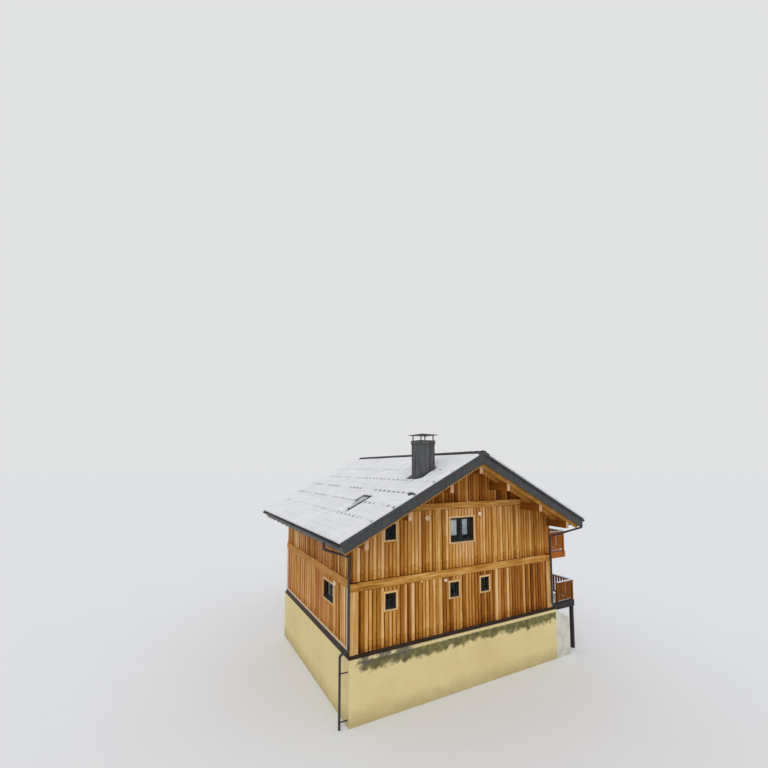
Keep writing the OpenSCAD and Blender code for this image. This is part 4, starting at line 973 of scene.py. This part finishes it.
def snow_mesh(name, us, vs, heights, foot):
    """A closed body of snow: heights over a grid, with sides and a flat underside at foot."""
    rows, columns = len(vs), len(us)
    u, v = np.meshgrid(us, vs)
    points = [tuple(p) for p in np.stack((u.ravel(), v.ravel(), heights.ravel()), axis=1).tolist()]
    faces = []
    for j in range(rows - 1):
        base = j * columns
        for i in range(columns - 1):
            faces.append((base + i, base + i + 1, base + columns + i + 1, base + columns + i))
    border = list(range(columns))
    border += [j * columns + columns - 1 for j in range(1, rows)]
    border += [(rows - 1) * columns + i for i in range(columns - 2, -1, -1)]
    border += [j * columns for j in range(rows - 2, 0, -1)]
    low = len(points)
    points += [(points[k][0], points[k][1], foot) for k in border]
    count = len(border)
    for k in range(count):
        n = (k + 1) % count
        faces.append((border[n], border[k], low + k, low + n))
    faces.append(tuple(low + k for k in range(count - 1, -1, -1)))
    made = bpy.data.meshes.new(name)
    made.from_pydata(points, [], faces)
    made.update()
    return made


def snow_lines(start, end, step, fine=(), fine_step=0.02, reach=0.08):
    """Places of grid lines from start to end, closer together near the fine places."""
    lines = set(np.round(np.linspace(start, end, max(2, int((end - start) / step) + 1)), 4))
    for edge in (start, end):
        inward = 1 if edge == start else -1
        lines |= {round(edge + inward * d, 4) for d in (0.004, 0.012, 0.025, 0.042)}
    for middle in fine:
        lines |= set(np.round(np.arange(middle - reach, middle + reach, fine_step), 4))
    return np.array(sorted(line for line in lines if start <= line <= end))


def dent_at_stops(u, v, low, thick):
    """The snow's thickness with its dents and ridges at the stops, and how much the stops show through it
    there, which its colour also takes as painted shade of the dents.
    """
    bare_and_dent_shade = np.zeros_like(thick)
    for stop, strength in STOPS:
        near = np.exp(-((v - stop - 0.035) / 0.045) ** 2)
        across = (u - low) / STOP_PITCH
        beat = np.exp(-((across - np.round(across)) * STOP_PITCH / 0.085) ** 2)
        dash = np.exp(-((v - stop - 0.05) / 0.065) ** 2)
        patch = ease(soft_noise(u, v, 0.7, 20 + int(stop)), -0.7, 0.2)
        thick = thick - 0.060 * strength * near * beat * patch
        # This share also carries painted shade of the dents.
        bare_and_dent_shade += 1.05 * strength * dash * (0.12 + 0.88 * beat) * patch
        thick = thick + 0.010 * strength * np.exp(-((v - stop + 0.09) / 0.08) ** 2)
        thick = thick - 0.008 * strength * np.exp(-((v - stop - 0.10) / 0.10) ** 2)
    return thick, bare_and_dent_shade


def melt_at_chimney(u, v, heights):
    """The snow's heights, sunk under the tiles round the chimney and wider below it."""
    middle_v = -CHIMNEY_X / math.cos(PITCH)
    half_v = CHIMNEY_W / math.cos(PITCH) / 2
    du = np.abs(u - CHIMNEY_Y) - CHIMNEY_W / 2
    dv = np.abs(v - middle_v) - half_v
    away = np.hypot(np.maximum(du, 0), np.maximum(dv, 0)) + np.minimum(np.maximum(du, dv), 0)
    wide = 0.08 + 0.14 * ease(v, middle_v, middle_v + half_v + 0.1)
    ragged = away + 0.03 * soft_noise(u, v, 0.15, 8)
    return UNDER_TILES + (heights - UNDER_TILES) * ease(ragged, wide, wide + 0.12)


def slide_off_skylight(u, v, heights):
    """The snow's heights at the skylight: gone from its upper front half, and lying over the rest."""
    around = 0.14
    middle_v = -SKY_X / math.cos(PITCH)
    du = np.abs(u - SKY_Y) - SKY_W / 2
    low_front = 0.16 * ease(v - middle_v, 0.3, 0.55) * ease(SKY_Y - u, 0.0, 0.25)
    dv = np.abs(v - middle_v) - SKY_L / 2 - low_front
    inside = np.minimum(-du, -dv)
    slid = ease(0.85 * (v - middle_v) + 1.15 * (u - SKY_Y) + 0.05 * soft_noise(u, v, 0.2, 9), 0.22, 0.38)
    over_frame = 0.062 + 0.030 * ease(inside, -0.02, 0.10) + 0.01 * soft_noise(u, v, 0.25, 10)
    near = ease(inside, -around, -around / 2)
    heights = np.where(inside > -around, heights + (over_frame - heights) * near * slid, heights)
    return heights + (UNDER_TILES - heights) * near * (1 - slid)


def roof_snow(side, name, step):
    """The snow on a slope: rounded at the edges, hanging over the verges, dented under the snow
    stops, melted round the chimney, and half slid off the skylight."""
    low, high = span_along(side)
    end = slope_length(side) + OVER_EAVE
    us = snow_lines(low - OVER_VERGE, high + OVER_VERGE, step)
    vs = snow_lines(SNOW_TOP, end, step * 1.25, [stop for stop, _ in STOPS])
    u, v = np.meshgrid(us, vs)
    thick = SNOW_T + 0.012 * soft_noise(u, v, 1.7, 3) + 0.006 * soft_noise(u, v, 0.45, 4)
    thick += 0.0025 * soft_noise(u, v, 0.12, 5)
    thick += 0.004 * np.sin(2 * math.pi * v / TILE_L) * (0.6 + 0.4 * soft_noise(u, v, 0.9, 6))
    thick, bare_and_dent_shade = dent_at_stops(u, v, low, thick)
    edge = np.minimum.reduce([u - us[0], us[-1] - u, (v - SNOW_TOP) * 1.2, (end - v) * 0.8])
    if side == RIGHT:
        verge_band = ease(u, high - 0.35, high - 0.05)
        below = ease(v, 2.9, 3.6)
        thick += 0.030 * verge_band * below - 0.035 * verge_band * (1 - below)
    heights = thick * round_edge(edge, 0.045)
    if side == LEFT:
        heights = slide_off_skylight(u, v, melt_at_chimney(u, v, heights))
    mesh = snow_mesh("snow_" + name, us, vs, heights, UNDER_TILES - 0.01)
    shown = mesh.attributes.new("thin_snow_and_dent_shade", "FLOAT", "POINT")
    for k, amount in enumerate(bare_and_dent_shade.ravel().tolist()):
        shown.data[k].value = min(amount, 1.0)
    mesh.transform(slope(side))
    piece("snow_" + name, mesh, "settled_snow", smooth=True)


roof_snow(LEFT, "left", 0.0375)
roof_snow(RIGHT, "right", 0.06)


def one_stop(bm):
    """A bent strap that holds the snow: flat on its tile, then up and back in a nose."""
    outline = [(-0.10, 0.004), (-0.10, 0.010), (-0.004, 0.012), (0.012, 0.074), (0.030, 0.074),
               (0.052, 0.020), (0.046, 0.018), (0.026, 0.066), (0.018, 0.066), (0.002, 0.004)]
    add_prism(bm, outline, outline_along_x(-STOP_W / 2), STOP_W)


for side, name in SIDES.items():
    low, high = span_along(side)
    for row, (stop, shown) in enumerate(STOPS):
        rows_of(f"snow_stops_{name}_{row}", one_stop, slope(side), "edge_metal",
                columns=int((high - low) / STOP_PITCH) - 1, column_step=STOP_PITCH,
                first=(low + STOP_PITCH, stop, 0.0), wobble=0.06, share=0.15 + 0.65 * shown, seed=12 + row)


# ---- Ridge, verges and eaves ----

RIDGE_TILES, RIDGE_TILE_L = 32, 0.395
# Lengths of verge metal between two laps
LAP_STEP = 1.95


def one_ridge_tile(bm):
    """A rounded ridge tile along Y, wider at the end that laps over the next one."""
    rings = []
    for y, radius in ((0.0, 0.176), (0.045, 0.176), (0.05, 0.162), (RIDGE_TILE_L + 0.02, 0.156)):
        ring = []
        for size in (radius, radius - 0.014):
            arc = [bm.verts.new((size * math.cos(a), y, 0.50 * size * math.sin(a)))
                   for a in (math.radians(-8 + 19.6 * k) for k in range(11))]
            ring.append(arc)
        rings.append(ring)
    for a, b in zip(rings, rings[1:]):
        bridge(bm, a[0], b[0], False)
        bridge(bm, b[1], a[1], False)
        for k in (0, 10):
            bm.faces.new((a[0][k], b[0][k], b[1][k], a[1][k]))
    for ring in (rings[0], rings[-1]):
        bridge(bm, ring[1], ring[0], False)


ridge_length = VERGE_BACK - VERGE_FRONT - 0.04
rows_of("ridge_tiles", one_ridge_tile, Matrix.Translation((0, VERGE_FRONT + 0.02, RIDGE - 0.040)),
        "roof_tiles", rows=RIDGE_TILES, row_step=ridge_length / RIDGE_TILES, wobble=0.012, seed=7)


def slope_prism(bm, outline, side, end):
    """An outline of (x along the ridge, z out of the slope) points, run from the ridge, where
    both slopes' pieces meet in a mitre, down to end."""
    place = slope(side)
    tops = [bm.verts.new(place @ Vector((x, -math.tan(PITCH) * z, z))) for x, z in outline]
    lows = [bm.verts.new(place @ Vector((x, end, z))) for x, z in outline]
    bridge(bm, tops, lows)
    bm.faces.new(lows)


def verges():
    """The four verges as (side, place along the slope's X axis, way outwards along it)."""
    for verge, out in ((VERGE_FRONT, -1), (VERGE_BACK, 1)):
        for side in (LEFT, RIGHT):
            yield side, along_slope(side, verge), -side * out


def across_verge(bm, side, x, way, down, outline, wide):
    """A strip of an outline of (x outwards, z) points, wide down the slope from a place on it."""
    turn = slope(side) @ Matrix.Translation((x, down, 0)) @ Matrix.Scale(way, 4, (1, 0, 0))
    add_prism(bm, outline, turn, wide)


def verge_caps(bm):
    """Folded metal over the tile edges along both verges: a top leg, a face, a drip fold,
    and a lap seam every two metres."""
    outline = [(-0.085, 0.026), (-0.085, 0.034), (0.018, 0.036), (0.018, -0.108),
               (0.034, -0.126), (0.030, -0.131), (0.010, -0.112), (0.010, 0.026)]
    lap = [(-0.087, 0.033), (-0.087, 0.038), (0.022, 0.040), (0.022, -0.106), (0.017, -0.106),
           (0.017, 0.033)]
    for side, x, way in verges():
        slope_prism(bm, [(x + way * a, z) for a, z in outline], side, slope_length(side) + 0.01)
        for k in range(1, 4):
            across_verge(bm, side, x, way, LAP_STEP * k, lap, 0.035)


def verge_seams(bm):
    """Standing seams and a bottom fold on the metal boards under the verges."""
    fold = [(0.000, -0.442), (0.010, -0.442), (0.010, -0.476), (-0.020, -0.482),
            (-0.020, -0.487), (0.014, -0.483)]
    seam = [(0.0, -0.44), (0.006, -0.44), (0.006, -0.115), (0.0, -0.115)]
    for side, edge, way in verges():
        x = edge - way * 0.020
        slope_prism(bm, [(x + way * a, z) for a, z in fold], side, slope_length(side) - 0.01)
        for k in range(1, 4):
            across_verge(bm, side, x, way, LAP_STEP * k + 0.9, seam, 0.03)


shape("verge_caps", verge_caps, "edge_metal")
shape("verge_seams", verge_seams, "edge_metal")


GUTTER_R = 0.08
# Middle of each gutter's rim as (x, z)
GUTTERS = {LEFT: (-6.93, 7.164), RIGHT: (6.78, 7.238)}
BRACKETS, BRACKET_STEP = 16, 0.82


def gutter_lips(bm):
    """The rolled outer edge of each gutter."""
    for side, (x, z) in GUTTERS.items():
        middle = (x + side * (GUTTER_R + 0.002), (VERGE_BACK + VERGE_FRONT) / 2, z)
        add_rod(bm, middle, "X", 0.011, VERGE_BACK - VERGE_FRONT - 0.04, 10)


def one_bracket(bm):
    """A strap bent round the outside of a gutter, with its ends folded over the rims."""
    radius, thick, half = GUTTER_R + 0.001, 0.005, 0.015
    angles = [math.radians(180 + 15 * k) for k in range(13)]
    outer = [(math.cos(a) * (radius + thick), math.sin(a) * (radius + thick)) for a in angles]
    inner = [(math.cos(a) * radius, math.sin(a) * radius) for a in reversed(angles)]
    outline = [(-radius - thick, 0.012)] + outer + [(radius + thick, 0.012), (radius, 0.012)] + inner
    outline += [(-radius, 0.012)]
    add_prism(bm, outline, Matrix.Translation((0, -half, 0)), 2 * half)


for side, (x, z) in GUTTERS.items():
    rows_of("gutter_brackets_" + SIDES[side], one_bracket, Matrix.Translation((x, 0, z)),
            "gutter_metal", rows=BRACKETS, row_step=BRACKET_STEP,
            first=(0, VERGE_FRONT + 0.25, 0))
shape("gutter_lips", gutter_lips, "gutter_metal", smooth=True)


def eave_drips(bm):
    """A folded strip from under the snow over each eave board into its gutter."""
    for side in (LEFT, RIGHT):
        low, high = span_along(side)
        length = slope_length(side)
        outline = [(length - 0.16, 0.020), (length - 0.16, 0.026), (length + 0.012, 0.024),
                   (length + 0.030, -0.080), (length + 0.024, -0.082), (length + 0.004, 0.018)]
        add_prism(bm, outline, slope(side) @ outline_along_x(low + 0.02), high - low - 0.04)


shape("eave_drips", eave_drips, "edge_metal")


# ---- Boarded underside of the roof ----

SOFFIT_BOARD = 0.145
# Share of the boards' spacing that a board fills
SOFFIT_FILL = 0.985


def nowhere(bm):
    """A block far away, for rows of boards that nothing is cut from."""
    add_block(bm, (-9, -9, -9), (-8, -8, -8))


def soffit_row(side, name, end, y0, y1, seed):
    """Boards down a slope under its deck, side by side between two places along Y, pale as painted light from
    below.
    """
    low, high = span_along(side, y0, y1)
    top = COVER + DECK
    start = top * math.tan(PITCH)
    pitch = (high - low) / round((high - low) / SOFFIT_BOARD)
    values = {
        "Start": pitch / 2, "Length": high - low, "Height": slope_length(side) - 0.06 - start,
        # The soffit boards' high tone is painted light from below.
        "Pitch": pitch, "Width": pitch * SOFFIT_FILL, "Depth": 0.012, "Back": 0.006, "Tone": 0.90,
        "Tone Spread": 0.14, "Beat": 0.0, "Seed": seed, "Wood": MATERIALS["soffit_boards_" + name],
    }
    turn = Matrix(((-1, 0, 0, high), (0, 0, 1, start), (0, 1, 0, -top), (0, 0, 0, 1)))
    grown(f"soffit_{name}_{end}", BOARD_ROW, nowhere, values, slope(side) @ turn)


for side, name in SIDES.items():
    soffit_row(side, name, "front", VERGE_FRONT + 0.05, -HALF_L, 510)
    soffit_row(side, name, "back", HALF_L, VERGE_BACK - 0.05, 520)


# ---- Chimney ----

def chimney_faces(z=0.0):
    """The places of the chimney's four faces at a height, each with its face towards -Y."""
    middle = Matrix.Translation((CHIMNEY_X, CHIMNEY_Y, z))
    return [middle @ Matrix.Rotation(turn * math.pi / 2, 4, "Z") for turn in range(4)]


def close_between(bm, low, high):
    """A solid between two rings of points."""
    bridge(bm, low, high)
    bm.faces.new(low)
    bm.faces.new(high)


def chimney_ribs(bm):
    """Folded upright ribs and corner strips on the chimney's four faces."""
    half, top = CHIMNEY_W / 2, CHIMNEY_TOP - 0.17
    for place in chimney_faces():
        for x, wide in ((-0.355, 0.02), (-0.12, 0.022), (0.12, 0.022), (0.355, 0.02)):
            ends = [place @ Vector((x + dx, -half - out, 0)) for dx, out in
                    ((-wide, 0), (-wide / 2, 0.022), (wide / 2, 0.022), (wide, 0))]
            low = [bm.verts.new((p.x, p.y, roof_z(p.x) + 0.005)) for p in ends]
            high = [bm.verts.new((p.x, p.y, top)) for p in ends]
            close_between(bm, low, high)


def collar_folds(bm):
    """Small folds at the top and the foot of the chimney's collar, and a rolled plate rim."""
    high = Vector((0, 0, 0.014))
    for z, out in ((CHIMNEY_TOP - 0.175, 0.040), (CHIMNEY_TOP - 0.012, 0.042), (CHIMNEY_TOP + 0.244, 0.118)):
        half = CHIMNEY_W / 2 + out
        inner = half - 0.03
        for place in chimney_faces(z):
            corners = [Vector((x, y, 0)) for x, y in
                       ((-half, -half), (half, -half), (inner, -inner), (-inner, -inner))]
            close_between(bm, [bm.verts.new(place @ c) for c in corners],
                          [bm.verts.new(place @ (c + high)) for c in corners])


shape("chimney_ribs", chimney_ribs, "casing_metal")
shape("collar_folds", collar_folds, "casing_metal")


# ---- Roof vent ----

HOOD_U, HOOD_V = -5.95, 4.18


def add_lathe(bm, place, profile, segments):
    """A turned solid about Z from its profile of (radius, z) points, closed at both ends."""
    rings = []
    for radius, z in profile:
        rings.append([bm.verts.new(place @ Vector((radius * math.cos(a), radius * math.sin(a), z)))
                      for a in (2 * math.pi * k / segments for k in range(segments))])
    for low, high in zip(rings, rings[1:]):
        bridge(bm, low, high)
    bm.faces.new(rings[0])
    bm.faces.new(rings[-1])


def roof_vent(bm):
    """A domed hood with a rolled rim on a short pipe near the front verge."""
    foot = slope(LEFT) @ Vector((HOOD_U, HOOD_V, 0))
    hood = [(0.060, -0.05), (0.060, 0.018), (0.138, 0.018), (0.150, 0.024), (0.150, 0.036), (0.142, 0.044),
            (0.136, 0.072), (0.114, 0.104), (0.074, 0.128), (0.030, 0.138), (0.028, 0.146), (0.008, 0.148)]
    add_lathe(bm, Matrix.Translation(foot), hood, 24)


shape("roof_vent", roof_vent, "edge_metal")


# ---- Windows ----

def sash_rings(bm):
    """A narrow sash inside each frame, with a chamfer towards the glass."""
    for wall, windows in WALL_WINDOWS.items():
        for middle, sill, width, height, sashes in on_wall(wall, windows):
            half = width / 2 - FRAME_W
            spans = [(-half, -STILE / 2), (STILE / 2, half)] if sashes == 2 else [(-half, half)]
            for x0, x1 in spans:
                low = (middle + x0, sill + FRAME_W)
                high = (middle + x1, sill + height - FRAME_W)
                add_ring(bm, WALLS[wall], low, high, 0.028, 0.076, 0.097)


def add_ring(bm, place, low, high, band, front, back):
    """A rectangular frame between two corners, its inner edge chamfered, from front to back."""
    rings = []
    for inset, y in ((0.0, back), (0.0, front + 0.006), (0.006, front), (band - 0.014, front),
                     (band, front + 0.012), (band, back)):
        corners = [(low[0] + inset, low[1] + inset), (high[0] - inset, low[1] + inset),
                   (high[0] - inset, high[1] - inset), (low[0] + inset, high[1] - inset)]
        rings.append([bm.verts.new(place @ Vector((x, y, z))) for x, z in corners])
    for a, b in zip(rings, rings[1:] + rings[:1]):
        bridge(bm, a, b)


def sills(bm):
    """Folded metal sills, sloping outwards over the lower trim board of each window."""
    outline = [(FRAME_IN, 0.022), (-0.046, 0.008), (-0.052, -0.022), (-0.048, -0.023),
               (-0.042, 0.002), (FRAME_IN, 0.002)]
    for wall, windows in WALL_WINDOWS.items():
        for middle, sill, width, _, _ in on_wall(wall, [w for w in windows if w is not TERRACE_DOOR]):
            turn = Matrix(((0, -1, 0, middle + width / 2), (1, 0, 0, 0), (0, 0, 1, sill), (0, 0, 0, 1)))
            add_prism(bm, outline, WALLS[wall] @ turn, width)


shape("sash_rings", sash_rings, "frame_paint")
shape("window_sills", sills, "edge_metal")


# ---- Curtains behind the double window ----

CURTAIN_Y = -HALF_L + 0.175
ROD_Z, ROD_R = 7.575, 0.009
RING_R, WIRE_R = 0.020, 0.0025
CURTAIN_TOP, CURTAIN_FOOT = ROD_Z - RING_R, 6.79
PLEAT, PLEAT_DEEP = 0.086, 0.020
CLOTH_T = 0.0012
CURTAINS = {"left": (-0.785, -0.325), "right": (-0.075, 0.310)}


def add_wire_ring(bm, middle):
    """A ring of round wire about X."""
    tubes = []
    for i in range(16):
        a = 2 * math.pi * i / 16
        tube = []
        for j in range(6):
            b = 2 * math.pi * j / 6
            r = RING_R + WIRE_R * math.cos(b)
            tube.append(bm.verts.new((middle[0] + WIRE_R * math.sin(b), middle[1] + r * math.cos(a),
                                      middle[2] + r * math.sin(a))))
        tubes.append(tube)
    for near, far in zip(tubes, tubes[1:] + tubes[:1]):
        bridge(bm, far, near)


def rod_and_rings(bm):
    """A thin rod across the reveal, with rings for the curtains on it."""
    add_rod(bm, (DOUBLE_WINDOW[0], CURTAIN_Y, ROD_Z), "Y", ROD_R, DOUBLE_WINDOW[2], 12)
    for start, end in CURTAINS.values():
        for k in range(round((end - start) / (PLEAT / 2)) + 1):
            add_wire_ring(bm, (start + k * PLEAT / 2, CURTAIN_Y, ROD_Z))


def curtain(name, start, end):
    """A pleated curtain that hangs from its rings, its folds opening a little downwards."""
    steps, drops = round((end - start) / PLEAT * 16), 12
    length = (end - start) / round((end - start) / PLEAT * 2) * 2
    sheet, widths = [], []
    for j in range(drops + 1):
        t = j / drops
        z = CURTAIN_TOP + (CURTAIN_FOOT - CURTAIN_TOP) * t
        row = []
        for i in range(steps + 1):
            x = start + (end - start) * i / steps
            fold = math.sin(2 * math.pi * (x - start) / length)
            sway = 0.006 * t * noise.noise(Vector((x * 9, z * 2, 4.0)))
            row.append(Vector((x + sway, CURTAIN_Y + PLEAT_DEEP * (0.75 + 0.25 * t) * fold + sway, z)))
        widths.append(sum((b - a).length for a, b in zip(row, row[1:])))
        sheet.append(row)

    def build(bm):
        grids = []
        for half in (-CLOTH_T / 2, CLOTH_T / 2):
            grid = []
            for row in sheet:
                line = []
                for i, point in enumerate(row):
                    ahead = row[min(i + 1, steps)] - row[max(i - 1, 0)]
                    line.append(bm.verts.new(point + Vector((ahead.y, -ahead.x, 0)).normalized() * half))
                grid.append(line)
            grids.append(grid)
        near, far = grids
        for j in range(drops):
            bridge(bm, near[j], near[j + 1], False)
            bridge(bm, far[j + 1], far[j], False)
            for i in (0, steps):
                bm.faces.new((near[j][i], near[j + 1][i], far[j + 1][i], far[j][i]))
        for j in (0, drops):
            bridge(bm, far[j], near[j], False)

    made = shape("curtain_" + name, build, "curtain_cloth", smooth=True)


shape("curtain_rod", rod_and_rings, "frame_paint")
for name, (start, end) in CURTAINS.items():
    curtain(name, start, end)


# ---- Small fittings on the front gable ----

VENT_X, VENT_Z, VENT_SIDE, VENT_T = -2.12, 7.715, 0.17, 0.04
VENT_PLACE = WALLS["front"] @ Matrix.Translation((VENT_X, 0, VENT_Z)) @ Matrix.Rotation(math.pi / 4, 4, "Y")
KNOB = (-2.50, -HALF_L - 0.06, 5.02)


def vent_louvres(bm):
    """Slanting blades behind a raised edge on the square vent that stands on its corner."""
    inset = 0.045
    blade = [(-0.012, 0.0), (0.012, 0.004), (0.012, 0.008), (-0.012, 0.004)]
    for k in range(4):
        turn = Matrix(((0, 1, 0, inset - VENT_SIDE / 2), (-1, 0, 0, -VENT_T - 0.004),
                       (0, 0, 1, -0.042 + 0.026 * k), (0, 0, 0, 1)))
        add_prism(bm, blade, VENT_PLACE @ turn, VENT_SIDE - 2 * inset)


def vent_edge(bm):
    """The raised edge of the same vent."""
    half = VENT_SIDE / 2 + 0.012
    add_ring(bm, VENT_PLACE, (-half, -half), (half, half), 0.046, -VENT_T - 0.022, -VENT_T + 0.004)


def beam_knob(bm):
    """A turned wooden peg on the storey beam."""
    profile = [(0.034, 0.0), (0.034, 0.03), (0.052, 0.036), (0.056, 0.062), (0.044, 0.084), (0.022, 0.094)]
    add_lathe(bm, Matrix.Translation(KNOB) @ Matrix.Rotation(math.pi / 2, 4, "X"), profile, 14)


shape("vent_louvres", vent_louvres, "trim_wood")
shape("vent_edge", vent_edge, "lamp_white")
shape("beam_knob", beam_knob, "trim_wood", smooth=True)


# ---- Snow on the decks and handrails ----

RAIL_W, BACK_RAIL_IN, TERRACE_FRONT_X = 0.15, 0.04, 6.55


def snow_ridge(bm, start, end, half, high, seed):
    """A rounded ridge of snow between two points, of uneven width and height."""
    start, end = Vector(start), Vector(end)
    ahead = (end - start).normalized()
    side = Vector((ahead.y, -ahead.x, 0))
    count = max(4, round((end - start).length / 0.08))
    rings = []
    for k in range(count + 1):
        at = start + (end - start) * k / count
        wave = noise.noise(Vector((at.x * 3.1, at.y * 3.1, seed)))
        taper = 0.35 if k in (0, count) else 1.0
        w, h = half * (1 + 0.12 * wave), high * (1 + 0.35 * wave) * taper
        rings.append([bm.verts.new(at + side * (w * a) + Vector((0, 0, h * b))) for a, b in
                      ((-1, 0), (-0.94, 0.5), (-0.6, 0.9), (0, 1), (0.6, 0.9), (0.94, 0.5), (1, 0))])
    for a, b in zip(rings, rings[1:]):
        bridge(bm, b, a)
    bm.faces.new(rings[0])
    bm.faces.new(rings[-1])


def rail_snow(name, box, front_x, back_x):
    """Snow on the three handrails of a deck."""
    _, x1, y0, y1, deck = box
    top, edge = deck + RAIL_H, RAIL_W / 2

    def build(bm):
        inner = x1 - RAIL_W - 0.02
        for start_x, y, seed in ((front_x, y0 + edge, 1.0), (back_x, y1 - edge, 2.0)):
            snow_ridge(bm, (start_x + 0.02, y, top), (inner, y, top), 0.062, 0.050, seed)
        snow_ridge(bm, (x1 - edge, y0 + 0.02, top), (x1 - edge, y1 - 0.02, top), 0.064, 0.055, 3.0)

    shape(name, build, "settled_snow", smooth=True)


def deck_snow(name, box, foot_x):
    """Snow on the boards of a deck, inside its railing."""
    _, x1, y0, y1, deck = box
    rail = RAIL_W + 0.02
    us = snow_lines(foot_x + 0.02, x1 - rail, 0.10)
    vs = snow_lines(y0 + rail, y1 - rail, 0.12)
    u, v = np.meshgrid(us, vs)
    thick = 0.065 + 0.012 * soft_noise(u, v, 0.9, 31) + 0.006 * soft_noise(u, v, 0.3, 32)
    edge = np.minimum.reduce([u - us[0], us[-1] - u, v - vs[0], vs[-1] - v])
    mesh = snow_mesh(name, us, vs, thick * round_edge(edge, 0.05) + 0.002, 0.0)
    mesh.transform(Matrix.Translation((0, 0, deck)))
    piece(name, mesh, "settled_snow", smooth=True)


rail_snow("rail_snow_terrace", TERRACE, TERRACE_FRONT_X, TERRACE[0] + BACK_RAIL_IN)
rail_snow("rail_snow_balcony", BALCONY, BALCONY[0], BALCONY[0])
deck_snow("deck_snow_terrace", TERRACE, TERRACE[0])
deck_snow("deck_snow_balcony", BALCONY, BALCONY[0])


# ---- Camera, light and stage ----

# Side of the square view, and the camera's focal length and the height of its centre in it
VIEW, FOCAL, CENTRE_Y = 768, 393.556, 437.003


def make_camera():
    """The camera at the photograph's place, found from the house's own edges."""
    data = bpy.data.cameras.new("view_camera")
    data.sensor_width = 36
    data.lens = FOCAL * data.sensor_width / VIEW
    data.shift_y = (CENTRE_Y - VIEW / 2) / VIEW
    data.clip_end = 2000
    camera = bpy.data.objects.new("view_camera", data)
    yaw, tilt = 0.495, 0.08
    ahead = Vector((math.sin(yaw) * math.cos(tilt), math.cos(yaw) * math.cos(tilt), math.sin(tilt)))
    camera.location = (-12.278, -19.438, 9.918)
    camera.rotation_mode = "QUATERNION"
    camera.rotation_quaternion = ahead.to_track_quat("-Z", "Y")
    bpy.context.scene.collection.objects.link(camera)
    bpy.context.scene.camera = camera


def make_light():
    """An even pale sky with a broad, weak sun, and a plain backdrop for the camera."""
    scene = bpy.context.scene
    world = bpy.data.worlds.new("pale_sky")
    scene.world = world
    world.use_nodes = True
    tree = world.node_tree
    sky = tree.nodes["Background"]
    sky.inputs["Color"].default_value = (0.97, 0.98, 1.0, 1)
    sky.inputs["Strength"].default_value = 0.80
    backdrop = add(tree, "ShaderNodeBackground", {"Color": rgb(224, 225, 226), "Strength": 1.0})
    path = add(tree, "ShaderNodeLightPath")
    seen = calc(tree, "MAXIMUM", path.outputs["Is Camera Ray"], path.outputs["Is Transmission Ray"])
    seen = calc(tree, "MAXIMUM", seen, path.outputs["Is Glossy Ray"])
    both = add(tree, "ShaderNodeMixShader", {0: seen, 1: sky.outputs[0], 2: backdrop.outputs[0]})
    tree.links.new(both.outputs[0], tree.nodes["World Output"].inputs["Surface"])
    sun = bpy.data.lights.new("soft_sun", "SUN")
    sun.energy = 0.75
    sun.angle = math.radians(30)
    lamp = bpy.data.objects.new("soft_sun", sun)
    lamp.rotation_mode = "QUATERNION"
    lamp.rotation_quaternion = Vector((0.55, 0.75, -1.0)).to_track_quat("-Z", "Y")
    scene.collection.objects.link(lamp)


def make_floor():
    """A plain pale floor at the lowest ground."""
    tree, shader, place = new_material("pale_floor", roughness=0.9, specular_ior_level=0.1)
    tone = blend(tree, cloudy(tree, place, 0.4, 2), rgb(226, 227, 228), rgb(229, 230, 231))
    tree.links.new(tone, shader.inputs["Base Color"])

    def disc(bm):
        bmesh.ops.create_circle(bm, cap_ends=True, segments=96, radius=900)

    mesh = mesh_of("pale_floor", disc)
    mesh.materials.append(MATERIALS["pale_floor"])
    floor = bpy.data.objects.new("pale_floor", mesh)
    bpy.context.scene.collection.objects.link(floor)


make_camera()
make_light()
make_floor()
bpy.context.scene.view_settings.view_transform = "Standard"
